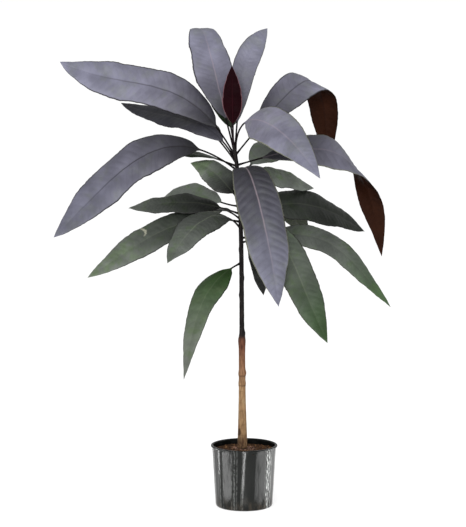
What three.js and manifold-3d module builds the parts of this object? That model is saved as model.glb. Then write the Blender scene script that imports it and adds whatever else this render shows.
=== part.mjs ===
// A grafted mango sapling in a 5 inch black nursery pot, about 0.9 m tall.
//
// Frame: millimetres, +Z up, origin at the centre of the pot's flat underside. +X runs to the
// sapling's right and -Y to its front. The plant is one body: a pot filled with soil, a trunk
// that stands on the soil, and large simple leaves, each a blade on its own petiole. Every leaf
// is one solid whose foot is cut to the bark, a small gap clear of it.

import * as THREE from "three";
import { mergeVertices } from "three/addons/utils/BufferGeometryUtils.js";
import Module from "manifold-3d";

const wasm = await Module();
wasm.setup();

// ---------------------------------------------------------------- driving dimensions

const GAP = 0.3; // between solids that touch

const POT = {
  rimRadius: 63.5, // outside of the rolled lip
  topRadius: 60.5, // outside of the wall at its top
  baseRadius: 54,
  height: 118,
  wall: 1.5,
  floor: 2.5,
  lipHeight: 3,
  lipRound: 0.6, // the lip's edges are eased by this
  baseRound: 4, // radius of the bottom edge
  innerRound: 3, // the floor curves up into the wall over this
  segments: 40,
  wallRings: [20, 40, 62, 84, 106], // heights where the wall has a ring of points
  pleats: 9, // soft upright folds round the wall
  pleatDepth: 0.9,
  pleatDrift: 0.6, // in radians: the folds aren't evenly spaced
  pleatRise: 30, // they deepen over this height above the bottom edge
  pleatFade: 12, // and fade out over this height under the rim
  drainHoles: 6,
  drainRadius: 5,
  drainCircle: 36, // radius of the circle that the drain holes lie on
  drainSides: 16,
};

const SOIL = {
  top: 111.2, // where the trunk stands
  edgeDrop: 3.5, // the surface is lower at the wall
  heap: 8, // but is heaped up towards the front, to just under the rim
  heapSpread: 1.3, // the heap is at its full height this much sooner than at the very front
  flatRadius: 16,
  shoulder: { radius: 0.72, drop: 0.55 }, // shares of the wall's radius and of the edge's drop
  clearance: 0.6, // from the pot's folded wall
};

const TRUNK = {
  foot: SOIL.top + GAP,
  top: 690,
  footX: -3.2,
  lean: -3.0, // steady drift to the left over its height
  kick: -14.0, // and the last stretch bends further left
  kickPower: 8,
  sway: 3.0, // gentle S front to back
  swayTurns: 0.8,
  rootstock: 6.1, // radius of the brown lower stem
  flare: 3.3, // added at the soil
  flareHeight: 75,
  flarePower: 1.5,
  union: 318, // height of the graft
  unionBulge: 1.0,
  unionReach: 13,
  unionBlend: 16, // height over which the rootstock gives way to the scion
  scionFoot: 4.75, // radius just over the graft
  scionTop: 3.7,
  budLength: 9,
  budRings: [[0.45, 0.8], [0.8, 0.5], [1, 0.18]], // shares of its length and of the scion's radius
  sides: 12,
  firstRing: 6, // above the foot
  ringStep: 16,
};

// Swollen nodes where old leaves fell, and the stub at the graft: how far each stands out, and
// the direction in degrees that it stands out in, or none where it rings the stem.
const NODES = [
  { height: 236, swell: 0.7 },
  { height: 255, swell: 0.9 },
  { height: 258, swell: 1.1, toward: 0 },
  { height: 333, swell: 1.7, toward: 0 },
  { height: 405, swell: 1.0, toward: 190 },
  { height: 438, swell: 1.0, toward: 10 },
  { height: 492, swell: 0.9, toward: 150 },
];
const NODE_REACH = 5;

// The leaves. Angles are degrees and lengths millimetres.
//   foot     height of the petiole's foot on the stem
//   heading  direction that the leaf grows in: 0 is +X, 90 is +Y, counter-clockwise
//   reach    level distance from the stem to the tip
//   lift     height of the tip above the foot
//   rise     slope of the petiole as it leaves the stem
//   fall     slope at the tip, positive when it points down
//   petiole  bare stalk length
//   width    widest part of the blade
//   roll     turn of the blade about its midrib: positive faces it to its own left
// and, where a leaf differs from the usual ones,
//   arch     pull of its foot and of its tip on the bend, in shares of the chord
//   turn     sideways bend: it leaves this far to its right and ends this far to its left
//   twist    further roll of its outer half
//   widest   where along the blade it is widest
//   full     how long its sides run level: 2 gives them an even curve
const LEAVES = {
  //             foot, head, reach, lift, rise, fall, petiole, width, roll
  crown_leaf_1:  [672, 172, 334,  171,  61, -26, 54, 80,  58, { arch: [0.52, 0.4], widest: 0.5, full: 2.8 }],
  crown_leaf_2:  [662, 154, 246,  101,  60, -18, 36, 60,  30],
  crown_leaf_3:  [684, 121, 140,  199,  68,  70, 54, 84,   0, { arch: [0.6, 0.35], turn: -12, widest: 0.44 }],
  crown_leaf_4:  [686,  32,  74,  220,  84, -44, 42, 46, -60, { arch: [0.5, 0.4], widest: 0.64 }],
  crown_leaf_5:  [690, 262,  22,  148,  80, -82, 38, 37,   0, { widest: 0.38, full: 2 }],
  crown_leaf_6:  [679, -46, 222,  -40,  88,  50, 57, 84, -44,
                  { arch: [0.46, 0.6], turn: 6, widest: 0.27, full: 1.7 }],
  crown_leaf_7:  [672,  42, 242,  -33,  48,  87, 46, 68, -50, { arch: [0.88, 1.0], turn: 20, twist: 80 }],
  crown_leaf_8:  [652,  18, 294, -184,  17,  79, 40, 74, -55,
                  { arch: [0.5, 0.73], turn: 30, twist: 88, widest: 0.4, full: 1.8 }],
  crown_leaf_9:  [643, 188, 345, -123,  38,  44, 72, 82,  50, { arch: [0.5, 0.45], full: 2.8 }],
  crown_leaf_10: [590, -66, 174, -184,  66,  80, 28, 86, -10, { arch: [0.75, 0.5], turn: 24, widest: 0.55 }],
  middle_leaf_1: [620,  50, 222,   55,  48,  10, 42, 66, -30],
  middle_leaf_2: [588, 156, 102,   64,  44,   0, 12, 58,  40, { widest: 0.38, full: 2.1 }],
  middle_leaf_3: [612,  38, 184,  -14,  25,  20, 38, 58, -40],
  middle_leaf_4: [553,  27, 270,  -40,  22,  34, 40, 80, -45],
  middle_leaf_5: [583, -43, 218, -246, -19,  56, 42, 67, -30, { widest: 0.5, full: 2.2 }],
  middle_leaf_6: [514,   2, 284, -133,   9,  50, 45, 56, -45, { arch: [0.55, 0.5], widest: 0.36, full: 2.1 }],
  middle_leaf_7: [570, -50,  68, -158,  10,  76, 30, 54,   0],
  lower_leaf_1:  [574, 144, 186,    0,   0,  50, 38, 62,  22, { widest: 0.5 }],
  lower_leaf_2:  [560, 175, 212,    8,  20,  10, 32, 62,  30],
  lower_leaf_3:  [545, 190, 290, -100,  12,  32, 40, 64,  45],
  lower_leaf_4:  [534, 225, 190,  -52,  44,  50, 22, 76,  14, { arch: [0.45, 0.4], widest: 0.38 }],
  low_leaf:      [466, 226, 154, -204, -14,  77, 20, 56,  15, { arch: [0.45, 0.4], widest: 0.24, full: 1.7 }],
  back_leaf_1:   [657, 124, 268,   80,  36,  10, 60, 64,   0],
  back_leaf_2:   [675, 100, 225,  106,  50,  14, 56, 58,   0],
  back_leaf_3:   [650, 144, 262,  -14,  16,  24, 40, 64,   0],
  back_leaf_4:   [606,  84, 250,  -30,  20,  28, 36, 60,   0],
  back_leaf_5:   [580,  60, 270,  -96,  14,  46, 38, 68,   0],
  back_leaf_6:   [550, 122, 245,  -76,  20,  45, 36, 66,   0],
  back_leaf_7:   [530,  70, 215,  -80,  10,  50, 34, 62,   0],
  back_leaf_8:   [505,  44, 180,  -90,  10,  60, 34, 64,   0],
};

// What every leaf has unless its own row says otherwise.
const USUAL = { arch: [0.4, 0.4], turn: 0, twist: 0, widest: 0.43, full: 2.4 };

const LEAF = {
  thickness: 0.0105, // share of the leaf's whole length
  footDepth: 0.7, // the midline starts this far out from the stem's centre, in stem radii
  petioleRadius: 1.6,
  footRadius: 2.3, // swollen foot of the petiole
  footReach: 9,
  leastHalf: 0.6, // the blade's least half width, in petiole radii
  flatten: 0.07, // share of the blade over which the stalk turns into the blade
  blunt: 0.995, // share of the blade where its tip is cut off
  rib: 0.8, // depth of the midrib under the blade's foot, in petiole radii
  fold: 0.16, // the two halves rise from the midrib
  curl: 0.24, // and bend down again to the margins
  waves: 2.6, // ripples along each margin
  waveDepth: 0.07, // of the half width
  waveStart: 0.15, // share of the blade over which the ripples set in
  waveLag: 1.9, // radians that the right margin's ripples run behind the left's
  rippleStep: 2.4, // radians that each leaf's ripples run behind those of the one before
  twistFrom: 0.3, // share of the blade where the twist starts
  twistOver: 0.5, // and the share that it takes
  petioleSteps: 4,
  bladeSteps: 12,
};
// Where the points of a section lie across the leaf, from its left margin to its right.
const ACROSS = [-1, -0.5, 0, 0.5, 1];

const LOOKS = {
  pot: { color: 0x1c1d1c, roughness: 0.35 },
  soil: { color: 0x4a3322, roughness: 0.95 },
  trunk: { color: 0x8a6848, roughness: 0.85 },
  youngLeaf: { color: 0x6c6878, roughness: 0.45 },
  grownLeaf: { color: 0x3d4a3c, roughness: 0.55 },
};

// ---------------------------------------------------------------- helpers

const rad = (degrees) => (degrees * Math.PI) / 180;
const mix = (a, b, share) => a + (b - a) * share;
const smooth = (t) => {
  const c = Math.min(1, Math.max(0, t));
  return c * c * (3 - 2 * c);
};
const bump = (x, reach) => Math.exp(-((x / reach) ** 2));
const range = (count, make) => Array.from({ length: count }, (_, i) => make(i));

function direction(heading, slope) {
  return new THREE.Vector3(
    Math.cos(rad(heading)) * Math.cos(rad(slope)),
    Math.sin(rad(heading)) * Math.cos(rad(slope)),
    Math.sin(rad(slope)),
  );
}

// A closed body lofted through rings of equal point count: sides, then a fan over each end.
function loft(rings) {
  const count = rings[0].length;
  const positions = rings.flat().flatMap((p) => [p.x, p.y, p.z]);
  const index = [];
  for (let r = 0; r + 1 < rings.length; r++) {
    for (let i = 0; i < count; i++) {
      const a = r * count + i;
      const b = r * count + ((i + 1) % count);
      index.push(a, b, b + count, a, b + count, a + count);
    }
  }
  const last = (rings.length - 1) * count;
  for (let i = 1; i + 1 < count; i++) {
    index.push(0, i + 1, i);
    index.push(last, last + i, last + i + 1);
  }
  return new THREE.BufferGeometry()
    .setAttribute("position", new THREE.Float32BufferAttribute(positions, 3))
    .setIndex(index);
}

function toSolid(geometry) {
  const bare = geometry.clone();
  bare.deleteAttribute("normal");
  bare.deleteAttribute("uv");
  const merged = mergeVertices(bare, 1e-4);
  return new wasm.Manifold(
    new wasm.Mesh({
      numProp: 3,
      vertProperties: new Float32Array(merged.attributes.position.array),
      triVerts: new Uint32Array(merged.index.array),
    }),
  );
}

function toGeometry(solid) {
  const mesh = solid.getMesh();
  return new THREE.BufferGeometry()
    .setAttribute("position", new THREE.BufferAttribute(new Float32Array(mesh.vertProperties), 3))
    .setIndex(new THREE.BufferAttribute(new Uint32Array(mesh.triVerts), 1));
}

// ---------------------------------------------------------------- pot and soil

// Outside of the pot's wall, before its folds.
function wallRadius(height) {
  return mix(POT.baseRadius, POT.topRadius, height / POT.height);
}

// How far the wall is pushed out by its folds, in a given direction and at a given height.
function pleat(angle, height) {
  const rise = smooth((height - POT.baseRound) / POT.pleatRise);
  const fade = smooth((POT.height - height) / POT.pleatFade);
  const ripple = Math.sin(POT.pleats * angle + POT.pleatDrift * Math.sin(2 * angle));
  return POT.pleatDepth * rise * fade * ripple;
}

// LatheGeometry turns about Y: this stands it up on Z, raises each point by a rule, if there is
// one, and presses the folds into the wall.
function turned(profile, raisedBy = () => 0) {
  const geometry = new THREE.LatheGeometry(profile, POT.segments).rotateX(Math.PI / 2);
  const place = geometry.attributes.position;
  const wallFrom = SOIL.shoulder.radius * POT.topRadius; // what lies further in has no folds
  for (let i = 0; i < place.count; i++) {
    const [x, y, z] = [place.getX(i), place.getY(i), place.getZ(i)];
    const radius = Math.hypot(x, y);
    const angle = Math.atan2(y, x);
    const height = z + raisedBy(angle, radius, z);
    const scale = radius < wallFrom ? 1 : (radius + pleat(angle, height)) / radius;
    place.setXYZ(i, x * scale, y * scale, height);
  }
  return geometry;
}

// The half section of the space inside the pot from the floor up, shrunk by a clearance.
function innerProfile(clearance, lift) {
  const side = (z) => new THREE.Vector2(wallRadius(z) - POT.wall - clearance, z);
  const { floor, innerRound } = POT;
  const foot = side(floor);
  return [
    new THREE.Vector2(0, floor + lift),
    new THREE.Vector2(foot.x - innerRound, floor + lift),
    new THREE.Vector2(foot.x - innerRound / 4, floor + innerRound + lift),
    ...POT.wallRings.map(side),
  ];
}

function drainHole(i) {
  const { drainRadius, drainCircle, drainHoles, drainSides, floor } = POT;
  const place = direction((i * 360) / drainHoles, 0).multiplyScalar(drainCircle);
  const hole = new THREE.CylinderGeometry(drainRadius, drainRadius, 4 * floor, drainSides);
  return toSolid(hole.rotateX(Math.PI / 2).translate(place.x, place.y, 0));
}

function potGeometry() {
  const { height, wall, rimRadius, lipHeight, lipRound, baseRound, baseRadius } = POT;
  const at = (r, z) => new THREE.Vector2(r, z);
  const corner = [0, 30, 60, 90].map((angle) => {
    const [sin, cos] = [Math.sin(rad(angle)), Math.cos(rad(angle))];
    return at(baseRadius - baseRound * (1 - sin), baseRound * (1 - cos));
  });
  const underLip = height - lipHeight;
  const mouth = wallRadius(height) - wall;
  const profile = [
    at(0, 0),
    ...corner,
    ...[...POT.wallRings, underLip].map((z) => at(wallRadius(z), z)),
    at(rimRadius - lipRound, underLip),
    at(rimRadius, height - lipHeight / 2),
    at(rimRadius - lipRound, height - lipRound / 2),
    at(rimRadius - 2.5 * lipRound, height),
    at(mouth + lipRound, height),
    at(mouth, height - lipRound),
    at(wallRadius(underLip) - wall, underLip),
    ...innerProfile(0, 0).reverse(),
  ];
  const pot = toSolid(turned(profile));
  return toGeometry(range(POT.drainHoles, drainHole).reduce((rest, hole) => rest.subtract(hole), pot));
}

// How far the soil's surface is heaped up at a place on it. Lower down nothing is raised.
function heapedBy(angle, radius, height) {
  const { top, edgeDrop, flatRadius, heap, heapSpread } = SOIL;
  if (height < top - edgeDrop - GAP) return 0;
  const towardFront = smooth(-Math.sin(angle) * heapSpread);
  return heap * towardFront * smooth((radius - flatRadius) / (POT.topRadius - flatRadius));
}

function soilGeometry() {
  const { top, edgeDrop, flatRadius, shoulder, clearance } = SOIL;
  const edge = top - edgeDrop;
  const profile = [
    ...innerProfile(clearance, GAP),
    new THREE.Vector2(wallRadius(edge) - POT.wall - clearance, edge),
    new THREE.Vector2(wallRadius(edge) * shoulder.radius, top - edgeDrop * shoulder.drop),
    new THREE.Vector2(flatRadius, top),
    new THREE.Vector2(0, top),
  ];
  return turned(profile, heapedBy);
}

// ---------------------------------------------------------------- trunk

function trunkCentre(height) {
  const t = (height - TRUNK.foot) / (TRUNK.top - TRUNK.foot);
  return new THREE.Vector3(
    TRUNK.footX + TRUNK.lean * t + TRUNK.kick * t ** TRUNK.kickPower,
    TRUNK.sway * Math.sin(2 * Math.PI * TRUNK.swayTurns * t) * t,
    height,
  );
}

function trunkRadius(height, angle) {
  const over = Math.max(0, height - TRUNK.foot);
  const flare = TRUNK.flare * Math.exp(-((over / TRUNK.flareHeight) ** TRUNK.flarePower));
  const up = Math.max(0, (height - TRUNK.union) / (TRUNK.top - TRUNK.union));
  const scion = mix(TRUNK.scionFoot, TRUNK.scionTop, up);
  const stem = mix(TRUNK.rootstock, scion, smooth((height - TRUNK.union) / TRUNK.unionBlend));
  const union = TRUNK.unionBulge * bump(height - TRUNK.union, TRUNK.unionReach);
  const nodes = NODES.reduce((sum, node) => {
    const facing = node.toward === undefined ? 1 : Math.max(0, Math.cos(angle - rad(node.toward)));
    return sum + node.swell * facing * bump(height - node.height, NODE_REACH);
  }, 0);
  return stem + flare + union + nodes;
}

function trunkRing(height, radiusAt) {
  const centre = trunkCentre(height);
  return range(TRUNK.sides, (i) => {
    const degrees = (i * 360) / TRUNK.sides;
    return direction(degrees, 0).multiplyScalar(radiusAt(rad(degrees))).add(centre);
  });
}

// The trunk, or the same shape grown all over by a clearance.
function trunkGeometry(clearance = 0) {
  const { foot, top, union, unionBlend, firstRing, ringStep, budLength, budRings, scionTop } = TRUNK;
  const heights = [foot - clearance, union, union + unionBlend, top, ...NODES.map((n) => n.height)];
  for (let z = foot + firstRing; z < top - ringStep / 8; z += ringStep) heights.push(z);
  heights.sort((a, b) => a - b);
  const stem = heights.map((z) => trunkRing(z, (angle) => trunkRadius(z, angle) + clearance));
  const bud = budRings.map(([up, width]) =>
    trunkRing(top + budLength * up, () => scionTop * width + clearance),
  );
  return loft([...stem, ...bud]);
}

// ---------------------------------------------------------------- leaves

// A row of the table as named values.
function named([foot, heading, reach, lift, rise, fall, petiole, width, roll, more = {}]) {
  return { ...USUAL, foot, heading, reach, lift, rise, fall, petiole, width, roll, ...more };
}

// The line of petiole and midrib: it leaves the stem at the rise and ends at the fall.
function midline({ foot, heading, reach, lift, rise, fall, arch, turn }) {
  const stem = trunkCentre(foot);
  const out = direction(heading, 0);
  const depth = trunkRadius(foot, rad(heading)) * LEAF.footDepth;
  const start = stem.clone().addScaledVector(out, depth);
  const tip = stem.clone().addScaledVector(out, reach).add(new THREE.Vector3(0, 0, lift));
  const chord = start.distanceTo(tip);
  const first = start.clone().addScaledVector(direction(heading - turn, rise), chord * arch[0]);
  const second = tip.clone().addScaledVector(direction(heading + turn, -fall), -chord * arch[1]);
  const line = new THREE.CubicBezierCurve3(start, first, second, tip);
  line.arcLengthDivisions = 400;
  return line;
}

// Half the blade's width at share t of its length, with 1 at its widest.
function bladeShape(t, { widest, full }) {
  const off = t < widest ? 1 - t / widest : (t - widest) / (1 - widest);
  return 1 - off ** full;
}

// How far a blade stands off its flat shape, at share t along it and s across it.
function bladeRelief(t, s, half, seed) {
  const lag = s > 0 ? LEAF.waveLag : 0;
  const ripple = Math.sin(2 * Math.PI * LEAF.waves * t + seed + lag);
  const wave = LEAF.waveDepth * s * s * ripple * smooth(t / LEAF.waveStart);
  return half * (LEAF.fold * Math.abs(s) - LEAF.curl * s * s + wave);
}

// The places along a leaf where it has a section, as distances from its foot.
function sections(leaf, length) {
  const { petioleSteps, bladeSteps } = LEAF;
  const stalk = range(petioleSteps, (i) => (leaf.petiole * i) / petioleSteps);
  const blade = range(bladeSteps + 1, (i) => mix(leaf.petiole, length, i / bladeSteps));
  return [...stalk, ...blade];
}

// The directions of a section: across the blade, and out of its upper face.
function sectionAxes(leaf, tangent, along, length, t) {
  const heading = leaf.heading + leaf.turn * ((2 * along) / length - 1);
  const side = direction(heading - 90, 0);
  side.addScaledVector(tangent, -side.dot(tangent)).normalize();
  const twist = leaf.twist * smooth((t - LEAF.twistFrom) / LEAF.twistOver);
  side.applyAxisAngle(tangent, -rad(leaf.roll * smooth(along / leaf.petiole) + twist));
  return { side, up: side.clone().cross(tangent) };
}

// One section: a ring of points over the upper face from left to right and back under it.
function leafSection(leaf, line, length, along, seed) {
  const share = Math.min(1, along / length);
  const t = Math.max(0, (along - leaf.petiole) / (length - leaf.petiole));
  const centre = line.getPointAt(share);
  const { side, up } = sectionAxes(leaf, line.getTangentAt(share), along, length, t);
  const flat = smooth(t / LEAF.flatten);
  const stalk = mix(LEAF.petioleRadius, LEAF.footRadius, bump(along, LEAF.footReach));
  const shape = (leaf.width / 2) * bladeShape(Math.min(t, LEAF.blunt), leaf);
  const half = Math.max(stalk * LEAF.leastHalf, shape);
  const thick = (LEAF.thickness * length) / 2;
  const midrib = LEAF.rib * LEAF.petioleRadius * (1 - t);
  const point = (s, angle, face) => {
    const rib = face < 0 && s === 0 ? midrib : 0;
    const height = bladeRelief(t, s, half, seed) + face * (thick + rib);
    const across = mix(stalk * Math.cos(angle), s * half, flat);
    const above = mix(stalk * Math.sin(angle), height, flat);
    return centre.clone().addScaledVector(side, across).addScaledVector(up, above);
  };
  const step = Math.PI / ACROSS.length;
  const upper = ACROSS.map((s, i) => point(s, Math.PI - (i + 0.5) * step, 1));
  const lower = ACROSS.map((s, i) => point(-s, -(i + 0.5) * step, -1));
  return [...upper, ...lower];
}

// A leaf is lofted through sections that pass from a round stalk to a thin, ribbed blade.
function leafGeometry(leaf, seed) {
  const line = midline(leaf);
  const length = line.getLength();
  return loft(sections(leaf, length).map((along) => leafSection(leaf, line, length, along, seed)));
}

// ---------------------------------------------------------------- assembly

const plant = new THREE.Group();
plant.name = "mango_sapling";

function add(name, geometry, look) {
  const mesh = new THREE.Mesh(geometry, new THREE.MeshStandardMaterial({ ...look, metalness: 0 }));
  mesh.name = name;
  plant.add(mesh);
}

add("pot", potGeometry(), LOOKS.pot);
add("soil", soilGeometry(), LOOKS.soil);
add("trunk", trunkGeometry(), LOOKS.trunk);

// Each leaf's foot is cut to the bark, a small gap clear of it.
const bark = toSolid(trunkGeometry(GAP));
Object.entries(LEAVES).forEach(([name, row], i) => {
  const leaf = toSolid(leafGeometry(named(row), i * LEAF.rippleStep));
  const look = name.startsWith("crown") ? LOOKS.youngLeaf : LOOKS.grownLeaf;
  add(name, toGeometry(leaf.subtract(bark)), look);
});

export default plant;
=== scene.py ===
# %% [markdown]
# # A grafted mango sapling in its nursery pot
#
# The plant is a slim stem, thirty large leaves on bare stalks, a black plastic pot and its soil.
# The solids of all of them are loaded as a fixed frame, one node for each piece, and this lesson
# dresses them: it grows every leaf again with veins and a thin edge, gives the stem its bark,
# creases the pot, crumbles the soil, and ends with a floor, soft light and a camera.
#
# Every size is named in millimetres and turned into metres where a mesh is made.

import math
from types import SimpleNamespace

import bpy
import numpy as np
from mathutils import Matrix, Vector


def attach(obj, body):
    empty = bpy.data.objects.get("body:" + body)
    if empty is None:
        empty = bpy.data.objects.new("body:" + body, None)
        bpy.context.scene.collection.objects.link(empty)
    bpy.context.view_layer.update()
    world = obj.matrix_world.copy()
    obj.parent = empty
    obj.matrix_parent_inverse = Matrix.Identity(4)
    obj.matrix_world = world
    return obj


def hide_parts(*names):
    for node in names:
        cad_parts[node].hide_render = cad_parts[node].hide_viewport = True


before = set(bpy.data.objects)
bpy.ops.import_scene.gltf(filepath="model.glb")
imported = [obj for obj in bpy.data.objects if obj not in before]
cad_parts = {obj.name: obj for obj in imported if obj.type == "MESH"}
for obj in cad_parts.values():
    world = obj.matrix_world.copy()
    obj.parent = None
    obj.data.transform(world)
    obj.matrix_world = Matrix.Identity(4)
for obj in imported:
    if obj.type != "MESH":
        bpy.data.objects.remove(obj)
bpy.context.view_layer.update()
scene = bpy.context.scene
MM = 0.001

# %% [markdown]
# ## Reckoning with sockets
#
# A leaf follows a rule, and so does the pattern on it. Both are written as node trees: geometry
# nodes for the shape, shader nodes for the finish. The leaf's own tree has over two hundred nodes,
# and would be hard to read if each were made and linked by hand, so the sockets get arithmetic.
# `a * b + c` then adds two Math nodes, in either kind of tree, and the rule reads as on paper.

# %% Sockets with arithmetic
class Wire:
    """One output socket that carries numbers, colours or geometry."""

    def __init__(self, tree, socket):
        self.tree = tree
        self.socket = socket

    def feed(self, socket):
        self.tree.links.new(self.socket, socket)

    def math(self, operation, *others):
        node = add_node(self.tree, "ShaderNodeMath", enumerate((self, *others)), operation=operation)
        return Wire(self.tree, node.outputs[0])

    def __add__(self, other):
        return self.math("ADD", other)

    def __sub__(self, other):
        return self.math("SUBTRACT", other)

    def __mul__(self, other):
        return self.math("MULTIPLY", other)

    def __truediv__(self, other):
        return self.math("DIVIDE", other)

    def __pow__(self, other):
        return self.math("POWER", other)

    def __rsub__(self, other):
        return self * -1 + other

    def __neg__(self):
        return self * -1

    def __abs__(self):
        return self.math("ABSOLUTE")

    __radd__ = __add__
    __rmul__ = __mul__


class Arrow(Wire):
    """One output socket that carries vectors."""

    def vector(self, operation, other, slot=1):
        node = add_node(self.tree, "ShaderNodeVectorMath", {0: self, slot: other}, operation=operation)
        return node.outputs

    def __add__(self, other):
        return Arrow(self.tree, self.vector("ADD", other)[0])

    def __sub__(self, other):
        return Arrow(self.tree, self.vector("SUBTRACT", other)[0])

    def __mul__(self, number):
        return Arrow(self.tree, self.vector("SCALE", number, slot=3)[0])

    def times(self, other):
        return Arrow(self.tree, self.vector("MULTIPLY", other)[0])

    def cross(self, other):
        return Arrow(self.tree, self.vector("CROSS_PRODUCT", other)[0])

    def dot(self, other):
        return Wire(self.tree, self.vector("DOT_PRODUCT", other)[1])

    def unit(self):
        return Arrow(self.tree, self.vector("NORMALIZE", (0, 0, 0))[0])


def add_node(tree, kind, inputs=(), **settings):
    """Adds one node, sets it up and feeds its inputs: a wire is linked, anything else is its value."""
    node = tree.nodes.new(kind)
    for name, value in settings.items():
        setattr(node, name, value)
    for key, value in dict(inputs).items():
        if isinstance(value, Wire):
            value.feed(node.inputs[key])
        else:
            node.inputs[key].default_value = value
    return node


print("socket classes:", Wire.__name__, "and", Arrow.__name__)

# %% Rules that both kinds of tree use
def smooth(value, start, end):
    """0 up to start, 1 from end on, and a soft slope between them."""
    inputs = {0: value, 1: start, 2: end}
    node = add_node(value.tree, "ShaderNodeMapRange", inputs, interpolation_type="SMOOTHSTEP")
    return Wire(value.tree, node.outputs[0])


def bump(value, reach):
    """A bell that is 1 at 0 and dies away over the reach."""
    return (-((value / reach) ** 2)).math("EXPONENT")


def mix(low, high, share):
    return low + (high - low) * share


def split(arrow):
    node = add_node(arrow.tree, "ShaderNodeSeparateXYZ", {0: arrow})
    return [Wire(arrow.tree, socket) for socket in node.outputs]


def combine(tree, x, y, z):
    node = add_node(tree, "ShaderNodeCombineXYZ", {0: x, 1: y, 2: z})
    return Arrow(tree, node.outputs[0])


def length_of(*parts):
    """The square root of the sum of squares."""
    return sum(part * part for part in parts).math("SQRT")


def noise(place, scale, detail, roughness=0.5):
    """Cloudy numbers from 0 to 1, about 0.5 on average."""
    inputs = {"Vector": place, "Scale": scale, "Detail": detail, "Roughness": roughness}
    node = add_node(place.tree, "ShaderNodeTexNoise", inputs)
    return Wire(place.tree, node.outputs[0])


def uneven(place, scale, detail):
    """The same, but from -0.5 to 0.5."""
    return noise(place, scale, detail) - 0.5


rules = (smooth, bump, mix, split, combine, length_of, noise, uneven)
print("rules:", [rule.__name__ for rule in rules])


# %% Groups with named sockets
FLOAT = "NodeSocketFloat"
WHOLE = "NodeSocketInt"
VECTOR = "NodeSocketVector"
COLOUR = "NodeSocketColor"
GEOMETRY = "NodeSocketGeometry"
MATERIAL = "NodeSocketMaterial"


def new_tree(name, kind, inputs, outputs):
    """A node group with named sockets. Gives the tree, its inputs as wires and its output node."""
    tree = bpy.data.node_groups.new(name, kind)
    for way, sockets in (("INPUT", inputs), ("OUTPUT", outputs)):
        for socket_name, (socket_kind, value) in sockets.items():
            socket = tree.interface.new_socket(socket_name, in_out=way, socket_type=socket_kind)
            if value is not None:
                socket.default_value = value
    source = tree.nodes.new("NodeGroupInput")
    wires = {}
    for socket in source.outputs:
        if socket.name:
            wires[socket.name] = (Arrow if socket.type == "VECTOR" else Wire)(tree, socket)
    return tree, wires, tree.nodes.new("NodeGroupOutput")


print("socket kinds:", FLOAT, WHOLE, VECTOR, COLOUR, GEOMETRY, MATERIAL)

# %% [markdown]
# ## From a tree to a piece
#
# A geometry tree is a row of steps that each take a geometry and hand it on. `step` adds one, and
# `store` is the step that writes a number or a vector on every point for a material to read.
#
# A Geometry Nodes modifier makes its mesh anew whenever something changes. A finished piece should
# not: it is handed on as a plain mesh. So each piece is grown once, the result is copied off the
# evaluated object, and the modifier goes. Modifier inputs are addressed by their identifier, which
# stays the same when a socket is renamed.

# %% Steps on a geometry
def step(geometry, kind, inputs=(), **settings):
    """Adds a node that works on a geometry and gives the geometry that comes out."""
    node = add_node(geometry.tree, kind, {0: geometry, **dict(inputs)}, **settings)
    return Wire(geometry.tree, node.outputs[0])


def store(geometry, name, value, domain="POINT"):
    """Writes a value on every point or instance, under a name."""
    kind = "FLOAT_VECTOR" if isinstance(value, Arrow) else "FLOAT"
    inputs = {"Name": name, "Value": value}
    return step(geometry, "GeometryNodeStoreNamedAttribute", inputs, data_type=kind, domain=domain)


def stored(tree, name):
    node = add_node(tree, "GeometryNodeInputNamedAttribute", {"Name": name}, data_type="FLOAT")
    return Wire(tree, node.outputs[0])


def place_and_normal(tree):
    kinds = ("GeometryNodeInputPosition", "GeometryNodeInputNormal")
    return [Arrow(tree, tree.nodes.new(kind).outputs[0]) for kind in kinds]


def finish_tree(geometry, material, out):
    """The last steps of a tree: real faces, which take their material."""
    geometry = step(geometry, "GeometryNodeRealizeInstances")
    step(geometry, "GeometryNodeSetMaterial", {"Material": material}).feed(out.inputs[0])


helpers = (step, store, stored, place_and_normal, finish_tree)
print("helpers for geometry:", [helper.__name__ for helper in helpers])

# %% Grow a piece and settle it on the frame
def link(name, data):
    """A new object in the scene."""
    thing = bpy.data.objects.new(name, data)
    scene.collection.objects.link(thing)
    return thing


def evaluated_mesh(piece):
    """The mesh that the piece has with its modifiers, as a plain mesh of its own."""
    depsgraph = bpy.context.evaluated_depsgraph_get()
    return bpy.data.meshes.new_from_object(
        piece.evaluated_get(depsgraph), preserve_all_data_layers=True, depsgraph=depsgraph
    )


def grow(name, tree, values, base=None):
    """Runs a geometry tree with these inputs and gives an object that holds the plain result."""
    piece = link(name, base or bpy.data.meshes.new(name))
    modifier = piece.modifiers.new(tree.name, "NODES")
    modifier.node_group = tree
    sockets = [item for item in tree.interface.items_tree if item.in_out == "INPUT"]
    ids = {item.name: item.identifier for item in sockets}
    for key, value in values.items():
        modifier[ids[key]] = value
    mesh = evaluated_mesh(piece)
    piece.modifiers.clear()
    piece.data = mesh
    mesh.name = name
    return piece


def settle(piece, node):
    """The piece stands for a node of the frame, which is hidden, and hangs from the root body."""
    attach(piece, "root")
    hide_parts(node)


def plain_mesh(name, points, faces):
    mesh = bpy.data.meshes.new(name)
    mesh.from_pydata([tuple(p) for p in points], [], faces)
    mesh.update()
    return mesh


print("nodes that wait for a piece:", len(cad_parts))

# %% [markdown]
# ## Colours
#
# Colours are written as they look on a screen, from 0 to 255, because that is how a maker reads
# them off a sample. Blender reckons in linear light, so each is turned once, here.

# %% Colours and materials
def paint(red, green, blue):
    """A screen colour as linear light with full alpha."""
    linear = []
    for part in (red, green, blue):
        share = part / 255
        linear.append(share / 12.92 if share <= 0.04045 else ((share + 0.055) / 1.055) ** 2.4)
    return (*linear, 1.0)


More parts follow.
